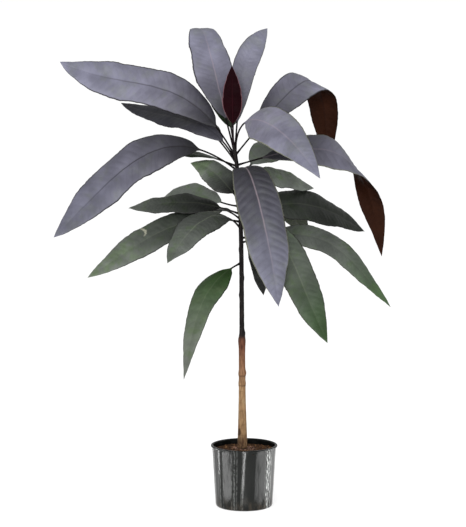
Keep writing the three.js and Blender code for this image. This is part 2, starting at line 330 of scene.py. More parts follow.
def blend(tree, share, first, second, mode="MIX"):
    """One colour laid over another by a share from 0 to 1."""
    inputs = {0: share, 6: first, 7: second}
    node = add_node(tree, "ShaderNodeMix", inputs, data_type="RGBA", blend_type=mode)
    return Wire(tree, node.outputs[2])


def attribute(tree, name, kind=Wire):
    node = tree.nodes.new("ShaderNodeAttribute")
    node.attribute_name = name
    return kind(tree, node.outputs["Vector" if kind is Arrow else "Fac"])


def object_place(tree):
    return Arrow(tree, tree.nodes.new("ShaderNodeTexCoord").outputs["Object"])


def finish_material(name, roughness, specular):
    """A material with a bare Principled shader: its tree and the shader node."""
    material = bpy.data.materials.new(name)
    material.use_nodes = True
    tree = material.node_tree
    shader = tree.nodes["Principled BSDF"]
    shader.inputs["Roughness"].default_value = roughness
    shader.inputs["Specular IOR Level"].default_value = specular
    return material, tree, shader


def raise_by(tree, shader, height, distance):
    """Fine relief that is too small for the mesh."""
    node = add_node(tree, "ShaderNodeBump", {"Height": height, "Distance": distance})
    tree.links.new(node.outputs[0], shader.inputs["Normal"])


print("half grey on a screen is", round(paint(128, 128, 128)[0], 3), "in linear light")

# %% [markdown]
# ## Skin of a leaf
#
# A mango leaf is leathery. A midrib runs down it, some twenty pairs of side veins leave the midrib
# at a steep angle and bend forward near the edge, and a net of fine veins fills the space between
# them. Young leaves are grey-purple above, that grey partly a painted sheen, and maroon-brown below,
# and turn dark green as they ripen. The midrib is pale on some and dark on others, and so is the
# thin line along the edge.
#
# The pattern could be painted on a flat map, but a leaf is grown here from a rule, so the rule
# leaves its own marks on the mesh: how far along and across the blade each point lies, and which
# side vein it is nearest. One node group reads those marks and gives colour and relief, and the
# leaf materials only choose its colours.

# %% Leaf pattern
LEAF_COLOURS = {
    "Foot": (COLOUR, paint(90, 90, 100)), "Tip": (COLOUR, paint(130, 130, 140)),
    "Ripe": (COLOUR, paint(90, 98, 87)), "Blotch": (COLOUR, paint(90, 70, 50)),
    "Rib": (COLOUR, paint(160, 150, 150)), "Vein": (COLOUR, paint(60, 56, 62)),
    "Edge": (COLOUR, paint(150, 150, 130)), "Stalk": (COLOUR, paint(40, 34, 38)),
    "Scar": (COLOUR, paint(160, 160, 142)),
    "Vein share": (FLOAT, 0.3), "Blotch share": (FLOAT, 0.2),
}
PATTERN_GIVES = {"Color": (COLOUR, None), "Roughness": (FLOAT, None), "Height": (FLOAT, None)}
CLOUD, NET, BLOTCHES = (28, 4), (900, 3, 0.6), (26, 3, 0.7)  # scale, detail and roughness
RIB_FADE = (0.0019, 0.0006)  # how far out the midrib's line ends and is full, in metres


def leaf_tissue(tree, g, along, cloud, net):
    """The blade between its veins: ripe or not, blotched, lighter or darker at random, with painted
    shade and sheen.
    """
    young = blend(tree, smooth(along, 0.0, 0.9), g["Foot"], g["Tip"])
    tissue = blend(tree, attribute(tree, "age"), young, g["Ripe"])
    spots = smooth(noise(attribute(tree, "sheet", Arrow), *BLOTCHES), 0.46, 0.68)
    tissue = blend(tree, spots * g["Blotch share"], tissue, g["Blotch"])
    tissue = blend(tree, attribute(tree, "green"), tissue, g["Foot"])
    # Painted shade: what faces up is darkened, down to half.
    painted_shade_facing_up = mix(1.0, 0.5, smooth(attribute(tree, "up"), 0.3, 0.9))
    clouded = mix(0.82, 1.16, smooth(cloud, 0.3, 0.7))
    # Painted light: each leaf's brightness, partly its own tone, is painted shade at the foot and a
    # painted sheen towards the tip.
    shade = attribute(tree, "tone") * painted_shade_facing_up * clouded * mix(0.86, 1.14, net)
    return blend(tree, 1.0, tissue, combine(tree, shade, shade, shade), "MULTIPLY")


def leaf_lines(tree, g, tissue, along, sheet):
    """Side veins, midrib, edge and scar over the tissue."""
    across = abs(attribute(tree, "across"))
    # On young leaves the dark side-vein lines are partly their own colour and partly painted shade in
    # the troughs between quilted bulges, strongest on crown_leaf_10.
    line = attribute(tree, "vein") * smooth(across, 1.0, 0.7) * mix(1.0, 0.3, smooth(along, 0.25, 0.7))
    tissue = blend(tree, line * g["Vein share"], tissue, g["Vein"])
    pale = attribute(tree, "rib")
    rib = smooth(abs(split(sheet)[0]), *RIB_FADE) * smooth(along, 1.0, 0.4)
    tissue = blend(tree, rib * pale.math("MAXIMUM", 0.0), tissue, g["Rib"])
    tissue = blend(tree, rib * (-pale).math("MAXIMUM", 0.0), tissue, g["Stalk"])
    rim = blend(tree, attribute(tree, "edge"), g["Stalk"], g["Edge"])
    tissue = blend(tree, smooth(across, 0.92, 0.975) * 0.9, tissue, rim)
    return blend(tree, smooth(attribute(tree, "scar"), 0.2, 0.7), tissue, g["Scar"])


def leaf_pattern():
    tree, g, out = new_tree("leaf pattern", "ShaderNodeTree", LEAF_COLOURS, PATTERN_GIVES)
    along = attribute(tree, "along")
    sheet = attribute(tree, "sheet", Arrow)
    cloud = noise(sheet, *CLOUD)
    net = noise(sheet, *NET)
    tissue = leaf_lines(tree, g, leaf_tissue(tree, g, along, cloud, net), along, sheet)
    blend(tree, smooth(along, 0.05, 0.0), tissue, g["Stalk"]).feed(out.inputs["Color"])
    mix(0.42, 0.56, cloud).feed(out.inputs["Roughness"])
    (net + cloud * 0.5).feed(out.inputs["Height"])
    return tree


LEAF_PATTERN = leaf_pattern()
print("leaf pattern:", len(LEAF_PATTERN.nodes), "nodes")


# %% Leaf materials
def leaf_material(name, specular, **colours):
    material, tree, shader = finish_material(name, 0.5, specular)
    pattern = add_node(tree, "ShaderNodeGroup", node_tree=LEAF_PATTERN)
    for key, value in colours.items():
        pattern.inputs[key.replace("_", " ")].default_value = value
    tree.links.new(pattern.outputs["Color"], shader.inputs["Base Color"])
    tree.links.new(pattern.outputs["Roughness"], shader.inputs["Roughness"])
    raise_by(tree, shader, Wire(tree, pattern.outputs["Height"]), 0.00025)
    return material


# The grey of the upper sides, lightest towards the tips, is partly the leaves' own colour and partly a
# painted sheen.
YOUNG_UPPER = leaf_material(
    "young_leaf_upper", 0.3,
    Foot=paint(110, 108, 122), Tip=paint(116, 116, 133), Ripe=paint(96, 104, 96),
    Rib=paint(176, 158, 166), Vein=paint(56, 52, 62), Edge=paint(152, 154, 132),
    Stalk=paint(16, 11, 13), Vein_share=0.16, Blotch=paint(112, 116, 112), Blotch_share=0.4,
)
YOUNG_UNDER = leaf_material(
    "young_leaf_under", 0.04,
    Foot=paint(22, 6, 5), Tip=paint(34, 16, 8), Ripe=paint(70, 76, 62),
    Rib=paint(56, 30, 22), Vein=paint(50, 26, 18), Edge=paint(66, 30, 30),
    Stalk=paint(16, 11, 13), Vein_share=0.12, Blotch_share=0.0,
)
GROWN_UPPER = leaf_material(
    "grown_leaf_upper", 0.3,
    Foot=paint(56, 92, 36), Tip=paint(100, 104, 96), Ripe=paint(89, 94, 88),
    Rib=paint(132, 140, 118), Vein=paint(58, 64, 56), Edge=paint(150, 154, 116),
    Stalk=paint(16, 13, 13), Vein_share=0.2, Blotch=paint(80, 97, 66), Blotch_share=0.65,
)
GROWN_UNDER = leaf_material(
    "grown_leaf_under", 0.08,
    Foot=paint(80, 88, 74), Tip=paint(96, 104, 88), Ripe=paint(76, 84, 66),
    Rib=paint(134, 136, 104), Vein=paint(112, 118, 90), Edge=paint(120, 124, 96),
    Stalk=paint(30, 28, 28), Vein_share=0.3, Blotch_share=0.1,
)
NEWEST = leaf_material(
    "newest_leaf_skin", 0.03,
    Foot=paint(30, 3, 8), Tip=paint(26, 3, 8), Rib=paint(60, 22, 30), Vein=paint(20, 2, 6),
    Edge=paint(150, 104, 112), Stalk=paint(26, 18, 22), Vein_share=0.3, Blotch_share=0.0,
)
leaf_skins = (YOUNG_UPPER, YOUNG_UNDER, GROWN_UPPER, GROWN_UNDER, NEWEST)
print("leaf materials:", [skin.name for skin in leaf_skins])

# %% [markdown]
# ## The stem's rule
#
# The stem leans a little, sways front to back and bends at its tip. Below the graft it is the
# rootstock's brown bark, 12 mm thick and flared at the soil. Above it is the scion, thinner and
# dark. The solids follow this rule, and the leaves need it too, because each grows out of the stem
# at its own height.

# %% Stem dimensions, in millimetres
POT_FLOOR = 2.5
SOIL_TOP = 111.2
STEM_FOOT = SOIL_TOP + 0.3
STEM_TOP = 690
FOOT_X = -3.2
LEAN = -3.0
KICK, KICK_POWER = -14.0, 8
SWAY, SWAY_TURNS = 3.0, 0.8
ROOTSTOCK = 6.1
FLARE, FLARE_HEIGHT, FLARE_POWER = 3.3, 75, 1.5
UNION, UNION_BULGE, UNION_REACH, UNION_BLEND = 318, 1.0, 13, 16
SCION_FOOT, SCION_TOP = 4.75, 3.7
BUD_LENGTH = 9
BUD_RINGS = [(0.2, 0.97), (0.45, 0.8), (0.65, 0.62), (0.8, 0.45), (0.93, 0.25), (1, 0.05)]
# Height, how far it stands out, and the direction in degrees, or none where it rings the stem.
SWELLINGS = [
    (236, 0.7, None), (255, 0.9, None), (258, 1.1, 0), (333, 1.7, 0),
    (405, 1.0, 190), (438, 1.0, 10), (492, 0.9, 150),
]
SWELLING_REACH = 5
print("stem:", STEM_TOP + BUD_LENGTH - STEM_FOOT, "mm long, grafted", UNION - SOIL_TOP, "mm up")


# %% The stem's rule
def ease(t):
    t = min(1.0, max(0.0, t))
    return t * t * (3 - 2 * t)


def bell(x, reach):
    return math.exp(-((x / reach) ** 2))


def direction(heading, slope=0.0):
    """A unit vector from a compass heading and a slope, both in degrees."""
    turn, tilt = math.radians(heading), math.radians(slope)
    return Vector((math.cos(turn) * math.cos(tilt), math.sin(turn) * math.cos(tilt), math.sin(tilt)))


def stem_centre(height):
    t = (height - STEM_FOOT) / (STEM_TOP - STEM_FOOT)
    x = FOOT_X + LEAN * t + KICK * t**KICK_POWER
    return Vector((x, SWAY * math.sin(2 * math.pi * SWAY_TURNS * t) * t, height))


def stem_radius(height, heading):
    over = max(0.0, height - STEM_FOOT)
    flare = FLARE * math.exp(-((over / FLARE_HEIGHT) ** FLARE_POWER))
    up = max(0.0, (height - UNION) / (STEM_TOP - UNION))
    scion = SCION_FOOT + (SCION_TOP - SCION_FOOT) * up
    above = ease((height - UNION) / UNION_BLEND)
    radius = ROOTSTOCK + (scion - ROOTSTOCK) * above + flare
    radius += UNION_BULGE * bell(height - UNION, UNION_REACH)
    for at, swell, toward in SWELLINGS:
        facing = 1 if toward is None else max(0.0, math.cos(math.radians(heading - toward)))
        radius += swell * facing * bell(height - at, SWELLING_REACH)
    return radius


print("stem across:", [round(2 * stem_radius(z, 90), 1) for z in (STEM_FOOT, UNION, STEM_TOP)], "mm")

# %% [markdown]
# ## The leaves
#
# Each leaf could be modelled by hand or bent from one flat blade along a curve. Neither keeps the
# veins true where a blade twists a quarter turn, as two of these do. So a leaf is grown by a
# tree: it starts as a plain cylinder with many rings, and each point is carried to its place on
# the leaf. A point's turn round the cylinder says how far across the blade it lies and on which
# face, and its height says how far along. The rings lean forward away from the midrib, so that a
# side vein runs along a ring and stays crisp.
#
# One line for each leaf gives the same numbers that its solid was made from.

# %% Leaf table, in degrees and millimetres
#   foot height, heading, reach, lift, rise, fall, petiole, width, roll, and what is unusual
LEAVES = {
    "crown_leaf_1": (672, 172, 334, 171, 61, -26, 54, 80, 58,
                     {"arch": (0.52, 0.4), "widest": 0.5, "full": 2.8}),
    "crown_leaf_2": (662, 154, 246, 101, 60, -18, 36, 60, 30),
    "crown_leaf_3": (684, 121, 140, 199, 68, 70, 54, 84, 0,
                     {"arch": (0.6, 0.35), "turn": -12, "widest": 0.44}),
    "crown_leaf_4": (686, 32, 74, 220, 84, -44, 42, 46, -60, {"arch": (0.5, 0.4), "widest": 0.64}),
    "crown_leaf_5": (690, 262, 22, 148, 80, -82, 38, 37, 0, {"widest": 0.38, "full": 2}),
    "crown_leaf_6": (679, -46, 222, -40, 88, 50, 57, 84, -44,
                     {"arch": (0.46, 0.6), "turn": 6, "widest": 0.27, "full": 1.7}),
    "crown_leaf_7": (672, 42, 242, -33, 48, 87, 46, 68, -50,
                     {"arch": (0.88, 1.0), "turn": 20, "twist": 80}),
    "crown_leaf_8": (652, 18, 294, -184, 17, 79, 40, 74, -55,
                     {"arch": (0.5, 0.73), "turn": 30, "twist": 88, "widest": 0.4, "full": 1.8}),
    "crown_leaf_9": (643, 188, 345, -123, 38, 44, 72, 82, 50, {"arch": (0.5, 0.45), "full": 2.8}),
    "crown_leaf_10": (590, -66, 174, -184, 66, 80, 28, 86, -10,
                      {"arch": (0.75, 0.5), "turn": 24, "widest": 0.55}),
    "middle_leaf_1": (620, 50, 222, 55, 48, 10, 42, 66, -30),
    "middle_leaf_2": (588, 156, 102, 64, 44, 0, 12, 58, 40, {"widest": 0.38, "full": 2.1}),
    "middle_leaf_3": (612, 38, 184, -14, 25, 20, 38, 58, -40),
    "middle_leaf_4": (553, 27, 270, -40, 22, 34, 40, 80, -45),
    "middle_leaf_5": (583, -43, 218, -246, -19, 56, 42, 67, -30, {"widest": 0.5, "full": 2.2}),
    "middle_leaf_6": (514, 2, 284, -133, 9, 50, 45, 56, -45,
                      {"arch": (0.55, 0.5), "widest": 0.36, "full": 2.1}),
    "middle_leaf_7": (570, -50, 68, -158, 10, 76, 30, 54, 0),
    "lower_leaf_1": (574, 144, 186, 0, 0, 50, 38, 62, 22, {"widest": 0.5}),
    "lower_leaf_2": (560, 175, 212, 8, 20, 10, 32, 62, 30),
    "lower_leaf_3": (545, 190, 290, -100, 12, 32, 40, 64, 45),
    "lower_leaf_4": (534, 225, 190, -52, 44, 50, 22, 76, 14, {"arch": (0.45, 0.4), "widest": 0.38}),
    "low_leaf": (466, 226, 154, -204, -14, 77, 20, 56, 15,
                 {"arch": (0.45, 0.4), "widest": 0.24, "full": 1.7}),
    "back_leaf_1": (657, 124, 268, 80, 36, 10, 60, 64, 0),
    "back_leaf_2": (675, 100, 225, 106, 50, 14, 56, 58, 0),
    "back_leaf_3": (650, 144, 262, -14, 16, 24, 40, 64, 0),
    "back_leaf_4": (606, 84, 250, -30, 20, 28, 36, 60, 0),
    "back_leaf_5": (580, 60, 270, -96, 14, 46, 38, 68, 0),
    "back_leaf_6": (550, 122, 245, -76, 20, 45, 36, 66, 0),
    "back_leaf_7": (530, 70, 215, -80, 10, 50, 34, 62, 0),
    "back_leaf_8": (505, 44, 180, -90, 10, 60, 34, 64, 0),
}
NAMES = ("foot", "heading", "reach", "lift", "rise", "fall", "petiole", "width", "roll")
USUAL = {"arch": (0.4, 0.4), "turn": 0, "twist": 0, "widest": 0.43, "full": 2.4}


def named(row):
    """A row of the table as named values, with the usual ones filled in."""
    unusual = row[len(NAMES)] if len(row) > len(NAMES) else {}
    return {**USUAL, **dict(zip(NAMES, row)), **unusual}


print("leaf table:", len(LEAVES), "leaves with", len(NAMES), "numbers each")


# %% The line of stalk and midrib
FOOT_DEPTH = 0.7  # it starts this far out from the stem's centre, in stem radii


def midline(leaf):
    """The four points of the bezier curve from the stem to the tip, in metres."""
    centre = stem_centre(leaf["foot"])
    out = direction(leaf["heading"])
    start = centre + out * stem_radius(leaf["foot"], leaf["heading"]) * FOOT_DEPTH
    tip = centre + out * leaf["reach"] + Vector((0, 0, leaf["lift"]))
    chord = (tip - start).length
    first_pull, last_pull = leaf["arch"]
    first = start + direction(leaf["heading"] - leaf["turn"], leaf["rise"]) * chord * first_pull
    last = tip - direction(leaf["heading"] + leaf["turn"], -leaf["fall"]) * chord * last_pull
    return [point * MM for point in (start, first, last, tip)]


highest = max(midline(named(row))[-1].z for row in LEAVES.values())
print("leaves:", len(LEAVES), "and the highest tip at", round(highest, 3), "m")

# %% [markdown]
# ### The tree that grows a leaf
#
# The inputs are the sizes of one leaf. The defaults are what all leaves share: the stalk's
# thickness, how the blade folds up from the midrib and curls down to the edge, the ripples and
# nicks of the edge, and the side veins. The blade itself is under a millimetre thick, thickest at
# the midrib, which stands out below as a rib.
#
# The tree is built in four parts: where a point lies on the leaf, which way the leaf runs there,
# how far the point stands to the side and up, and what the finish is told about it. In all of
# them `g` holds the tree's inputs by name, and `p` holds what the first part found out.

# %% Inputs of the leaf tree
LEAF_INPUTS = {
    "Start": (VECTOR, None), "First pull": (VECTOR, None),
    "Last pull": (VECTOR, None), "End": (VECTOR, None),
    "Heading": (FLOAT, 0.0), "Turn": (FLOAT, 0.0), "Roll": (FLOAT, 0.0), "Twist": (FLOAT, 0.0),
    "Stalk length": (FLOAT, 0.04), "Width": (FLOAT, 0.07),
    "Widest": (FLOAT, 0.43), "Full": (FLOAT, 2.4), "Seed": (FLOAT, 0.0),
    "Age": (FLOAT, 0.0), "Foot tone": (FLOAT, 1.0), "Tip tone": (FLOAT, 1.0),
    "Tone reach": (FLOAT, 0.6), "Pale rib": (FLOAT, 0.0), "Veins": (FLOAT, 1.0),
    "Pale edge": (FLOAT, 0.0), "Scar place": (FLOAT, -1.0), "Green tip": (FLOAT, 0.0),
    "Upper": (MATERIAL, None), "Under": (MATERIAL, None),
    "Rings": (WHOLE, 230), "Points round": (WHOLE, 60),
    "Stalk radius": (FLOAT, 0.0016), "Foot radius": (FLOAT, 0.0023), "Foot reach": (FLOAT, 0.009),
    "Thickness": (FLOAT, 0.0006), "Rib depth": (FLOAT, 0.0012), "Rib width": (FLOAT, 0.0013),
    "Fold": (FLOAT, 0.16), "Curl": (FLOAT, 0.24),
    "Ripples": (FLOAT, 2.6), "Ripple depth": (FLOAT, 0.07), "Crumple": (FLOAT, 0.005),
    "Wobble": (FLOAT, 0.16), "Nicks": (FLOAT, 0.05),
    "Vein pairs": (FLOAT, 24.0), "Vein lean": (FLOAT, 0.075), "Quilting": (FLOAT, 0.0004),
}
STALK_ROWS = 0.1  # share of the rings that the bare stalk gets
VEIN_BEND = 1.4  # how late a side vein bends forward: 1 is evenly, 2 is near the edge
BLADE_OPENS = 0.07  # share of the blade over which the stalk turns flat
HALVES_APART = 1.9  # how far the ripples of one half are out of step with the other
CRUMPLE_CELLS = (22, 45)  # a metre, across the blade and along it
MARGIN_CELLS, MARGIN_APART = 12, 3  # in the length of the margin, and between its two sides
SCAR_HALF, SCAR_HOOK, SCAR_MIDDLE, SCAR_CROOKED = 0.008, 0.12, 0.6, 0.03
print("leaf inputs:", len(LEAF_INPUTS))


# %% Where a point lies, and which way the leaf runs there
def lie(tree, g, length):
    """Where a point of the cylinder lies on the leaf.

    s runs from -1 to 1 across the blade, t from 0 to 1 along it, face is 1 above and -1 below, and
    between is 0 on a side vein and 1 half way to the next. Veins show inside the window only.
    """
    x, y, z = split(place_and_normal(tree)[0])
    s = 1 - abs(y.math("ARCTAN2", x)) * (2 / math.pi)
    up_share = z + 0.5
    row = ((up_share - STALK_ROWS) / (1 - STALK_ROWS)).math("MAXIMUM", 0.0)
    t = row + g["Vein lean"] * abs(s) ** VEIN_BEND * row * (1 - row) * 4
    stalk_share = (up_share / STALK_ROWS).math("MINIMUM", 1.0)
    along = g["Stalk length"] * stalk_share + (length - g["Stalk length"]) * t
    right = s.math("GREATER_THAN", 0.0)
    phase = g["Vein pairs"] * row + right * 0.5
    between = 0.5 - (phase * (2 * math.pi)).math("COSINE") * 0.5
    window = smooth(abs(s), 0.03, 0.25) * smooth(abs(s), 1.0, 0.8) * smooth(row, 0.0, 0.08)
    return SimpleNamespace(
        x=x, y=y, s=s, t=t, row=row, along=along, right=right, face=y.math("SIGN"),
        between=between, window=window, radial=length_of(x, y),
    )


def directions(tree, g, curve, length, p):
    """The midline there, the way across the blade and the way out of its upper face."""
    inputs = {"Curves": curve, "Length": p.along}
    sample = add_node(tree, "GeometryNodeSampleCurve", inputs, mode="LENGTH")
    tangent = Arrow(tree, sample.outputs["Tangent"])
    heading = g["Heading"] + g["Turn"] * (p.along / length * 2 - 1)
    level = combine(tree, heading.math("SINE"), -heading.math("COSINE"), 0.0)
    level = (level - tangent * level.dot(tangent)).unit()
    roll = g["Roll"] * smooth(p.along, 0.0, g["Stalk length"]) + g["Twist"] * smooth(p.t, 0.3, 0.8)
    inputs = {"Vector": level, "Axis": tangent, "Angle": -roll}
    rolled = add_node(tree, "ShaderNodeVectorRotate", inputs, rotation_type="AXIS_ANGLE")
    side = Arrow(tree, rolled.outputs[0])
    return Arrow(tree, sample.outputs["Position"]), side, side.cross(tangent)


print("parts of the leaf tree:", lie.__name__, "and", directions.__name__)


# %% The section of a leaf
def blade_half(g, t, stalk):
    """Half the blade's width at share t of its length, never less than a part of the stalk."""
    toward_foot = 1 - t / g["Widest"]
    toward_tip = (t - g["Widest"]) / (1 - g["Widest"])
    off = toward_foot.math("MAXIMUM", toward_tip)
    shape = 1 - off ** g["Full"]
    least = stalk * 0.6 * (1 - t * 0.9)
    return (g["Width"] * 0.5 * shape).math("MAXIMUM", least)


def blade_relief(tree, g, p, half):
    """How far the blade stands off flat: folded, curled, rippled, quilted, crumpled and ribbed."""
    phase = g["Ripples"] * p.t * (2 * math.pi) + g["Seed"] + p.right * HALVES_APART
    ripple = phase.math("SINE") * p.s * p.s * g["Ripple depth"] * smooth(p.t, 0.0, 0.15)
    bent = half * (g["Fold"] * abs(p.s) - g["Curl"] * p.s * p.s + ripple)
    quilt = p.between ** 0.6 * p.window * g["Quilting"] * g["Veins"] * smooth(p.row, 1.0, 0.8)
    across, along = CRUMPLE_CELLS
    cell = combine(tree, p.s * half * across, p.along * along, g["Seed"])
    crumple = uneven(cell, 1.0, 2) * g["Crumple"] * smooth(p.t, 0.05, 0.3)
    depth = mix(g["Rib depth"] * -1, g["Rib depth"] * 0.3, p.face.math("GREATER_THAN", 0.0))
    rib = bump(p.s * half, g["Rib width"]) * (1 - p.t) * depth
    body = p.face * abs(p.y) ** 0.4 * g["Thickness"] * 0.5
    return bent + quilt + crumple + rib + body


def section(tree, g, p):
    """Half the width, and how far a point lies to the side and up: a round stalk turns flat."""
    stalk = mix(g["Stalk radius"], g["Foot radius"], bump(p.along, g["Foot reach"]))
    side = p.s.math("SIGN") * MARGIN_APART
    margin = combine(tree, p.t * MARGIN_CELLS, side + g["Seed"], 0.0)
    wobble = uneven(margin, 1.0, 2) * g["Wobble"] + uneven(margin, 5.0, 2) * g["Nicks"]
    half = blade_half(g, p.t, stalk) * (1 + wobble * smooth(p.t, 0.04, 0.2))
    flat = smooth(p.t, 0.0, BLADE_OPENS)
    across = mix(stalk * p.x, p.s * half, flat) * p.radial
    above = mix(stalk * p.y, blade_relief(tree, g, p, half), flat) * p.radial
    return half, across, above


def marks(tree, g, p, half):
    """What the finish is told about a point. The scar is a small hook that starts at the edge."""
    crooked = uneven(combine(tree, p.s, p.t * 3, 0.0), 9.0, 1) * SCAR_CROOKED
    off_scar = p.t - g["Scar place"] - ((p.s - SCAR_MIDDLE) ** 2 * SCAR_HOOK + crooked)
    return {
        "along": p.t, "across": p.s, "face": p.face,
        "vein": smooth(p.between, 0.16, 0.0) * p.window * g["Veins"],
        # The brightness carries the painted shade of the foot and the painted sheen of the tip.
        "tone": mix(g["Foot tone"], g["Tip tone"], smooth(p.t, 0.0, g["Tone reach"])),
        "age": g["Age"], "rib": g["Pale rib"], "edge": g["Pale edge"],
        "scar": bump(off_scar, SCAR_HALF) * smooth(p.s, 0.15, 0.35),
        "green": g["Green tip"] * smooth(p.t, 0.45, 0.95),
        "sheet": combine(tree, p.s * half, p.along, g["Seed"] * 0.1),
    }


print("parts of the leaf tree:", section.__name__, "and", marks.__name__)


# %% Leaf tree
def leaf_tree():
    """A cylinder of rings is laid along the midline, marked and given its finishes."""
    tree, g, out = new_tree("leaf", "GeometryNodeTree", LEAF_INPUTS, {"Geometry": (GEOMETRY, None)})
    line = add_node(tree, "GeometryNodeCurvePrimitiveBezierSegment", {
        "Resolution": 160, "Start": g["Start"], "Start Handle": g["First pull"],
        "End Handle": g["Last pull"], "End": g["End"],
    })
    curve = Wire(tree, line.outputs[0])
    length = step(curve, "GeometryNodeCurveLength")
    tube = add_node(tree, "GeometryNodeMeshCylinder", {
        "Vertices": g["Points round"], "Side Segments": g["Rings"], "Radius": 1.0, "Depth": 1.0,
    }, fill_type="TRIANGLE_FAN")
    p = lie(tree, g, length)
    centre, side, up = directions(tree, g, curve, length, p)
    half, across, above = section(tree, g, p)

    mesh = Wire(tree, tube.outputs["Mesh"])
    for name, value in marks(tree, g, p, half).items():
        mesh = store(mesh, name, value)
    place = centre + side * across + up * above
    mesh = step(mesh, "GeometryNodeSetPosition", {"Position": place})
    # How far each point faces up, read by the finish for the painted shade on upward faces.
    mesh = store(mesh, "up", split(place_and_normal(tree)[1])[2])
    mesh = step(mesh, "GeometryNodeSetShadeSmooth")
    mesh = step(mesh, "GeometryNodeRealizeInstances")
    mesh = step(mesh, "GeometryNodeSetMaterial", {"Material": g["Under"]})
    # The upper side has a finish of its own, and the stalk is as dull as the under side.
    is_above = stored(tree, "face").math("GREATER_THAN", 0.0)
    is_blade = stored(tree, "along").math("GREATER_THAN", 0.02)
    inputs = {"Selection": is_above * is_blade, "Material": g["Upper"]}
    step(mesh, "GeometryNodeSetMaterial", inputs).feed(out.inputs[0])
    return tree


LEAF_TREE = leaf_tree()
print("leaf tree:", len(LEAF_TREE.nodes), "nodes")

# %% [markdown]
# ### Age and look
#
# A flush of new leaves is grey-purple, and the leaves under it are already green. `age` runs from 0
# to 1 between the two. Nearly every blade has painted shade where it leaves its stalk and a painted
# sheen further out, over some tone of its own, so each leaf has a brightness for its foot, one for
# its tip and the share of its length over which it changes. The midrib of some leaves is paler than
# the blade and that of others is darker, and only a few have a pale edge. One leaf has a healed
# tear, and three keep some of their green at the tip.

# %% Age, foot and tip brightness with painted light, how soon it changes, pale rib, veins and pale edge of each leaf
# Most of the brightness is painted light: a low foot value is painted shade, a tip value over 1 is a
# painted sheen, and crown_leaf_2 and middle_leaf_7 are painted dark as the shadow of the leaves in front
# of them.
BLADES = {
    "crown_leaf_1": (0.0, 0.08, 1.05, 0.52, -0.5, 0.9, 0.0),
    "crown_leaf_2": (0.1, 0.38, 0.20, 0.6, -0.3, 0.5, 0.0),
    "crown_leaf_3": (0.0, 0.43, 1.24, 0.6, 0.3, 0.7, 0.0),
    "crown_leaf_4": (0.0, 0.40, 0.99, 0.9, 0.0, 0.6, 0.2),
    "crown_leaf_5": (0.0, 0.80, 0.80, 0.5, 0.2, 0.5, 0.8),
    "crown_leaf_6": (0.0, 1.30, 0.88, 0.8, 0.2, 0.6, 0.6),
    "crown_leaf_7": (0.0, 0.10, 1.50, 0.66, -0.5, 0.9, 0.0),
    "crown_leaf_8": (0.0, 0.06, 1.40, 0.76, 0.1, 1.2, 0.4),
    "crown_leaf_9": (0.0, 0.04, 0.72, 0.5, -0.6, 1.1, 0.0),
    "crown_leaf_10": (0.05, 0.10, 1.00, 1.15, 0.35, 3.0, 0.5),
    "middle_leaf_1": (1.0, 1.30, 1.60, 0.6, 0.0, 0.6, 0.0),
    "middle_leaf_2": (1.0, 0.03, 1.80, 1.0, 0.1, 0.8, 0.1),
    "middle_leaf_3": (1.0, 1.95, 1.95, 0.6, 0.0, 0.6, 0.0),
    "middle_leaf_4": (0.9, 0.55, 0.14, 0.6, 0.1, 0.8, 0.0),
    "middle_leaf_5": (0.8, 1.25, 0.60, 0.7, 0.2, 0.8, 0.1),
    "middle_leaf_6": (1.0, 0.80, 0.90, 0.6, 0.1, 0.8, 0.1),
    "middle_leaf_7": (0.9, 0.05, 0.08, 0.6, 0.0, 0.4, 0.0),
    "lower_leaf_1": (1.0, 1.85, 1.85, 0.6, 0.0, 0.6, 0.0),
    "lower_leaf_2": (1.0, 0.02, 2.10, 1.8, 0.1, 0.8, 0.0),
    "lower_leaf_3": (0.9, 0.02, 1.46, 1.0, 0.1, 0.8, 0.0),
    "lower_leaf_4": (1.0, 0.25, 1.00, 1.0, 0.3, 0.9, 0.0),
    "low_leaf": (0.1, 0.58, 0.88, 0.5, 0.1, 0.5, 0.0),
}
LOOK = ("Age", "Foot tone", "Tip tone", "Tone reach", "Pale rib", "Veins", "Pale edge")
# The leaves at the back differ in age and in the tone of their tips only.
BACK_AGES = (0.2, 0.1, 0.4, 0.6, 0.8, 0.9, 1.0, 1.0)
BACK_TIPS = (0.8, 0.9, 0.7, 0.7, 0.7, 0.7, 0.6, 0.6)
for number, (age, tip) in enumerate(zip(BACK_AGES, BACK_TIPS), start=1):
    BLADES[f"back_leaf_{number}"] = (age, 0.2, tip, 0.6, 0.2, 1.0, 0.0)
# A healed tear near one edge, and tips that stay green.
MARKED = {
    "lower_leaf_3": {"Scar place": 0.5},
    "middle_leaf_4": {"Green tip": 0.3},
    "middle_leaf_5": {"Green tip": 0.8},
    "middle_leaf_6": {"Green tip": 0.6},
}
print("looks:", len(BLADES), "and", len(MARKED), "leaves with marks of their own")

# %% Grow the leaves
RIPPLE_STEP = 2.4  # how far the ripples of one leaf are out of step with the next


def leaf_finish(name):
    """Upper material, under material and slot of a leaf."""
    if name == "crown_leaf_5":
        return NEWEST, NEWEST, "newest_leaf"
    if name.startswith("crown"):
        return YOUNG_UPPER, YOUNG_UNDER, "young_leaf"
    return GROWN_UPPER, GROWN_UNDER, "grown_leaf"


def grow_leaf(name, row, index):
    leaf = named(row)
    upper, under, slot = leaf_finish(name)
    values = {"Upper": upper, "Under": under, "Seed": index * RIPPLE_STEP}
    values.update(zip(("Start", "First pull", "Last pull", "End"), midline(leaf)))
    for angle in ("heading", "turn", "roll", "twist"):
        values[angle.capitalize()] = math.radians(leaf[angle])
    values.update({"Stalk length": leaf["petiole"] * MM, "Width": leaf["width"] * MM})
    values.update({"Widest": leaf["widest"], "Full": leaf["full"]})
    values.update(zip(LOOK, BLADES[name]))
    values.update(MARKED.get(name, {}))
    piece = grow(f"{name}_blade", LEAF_TREE, values)
    settle(piece, name)
    return piece


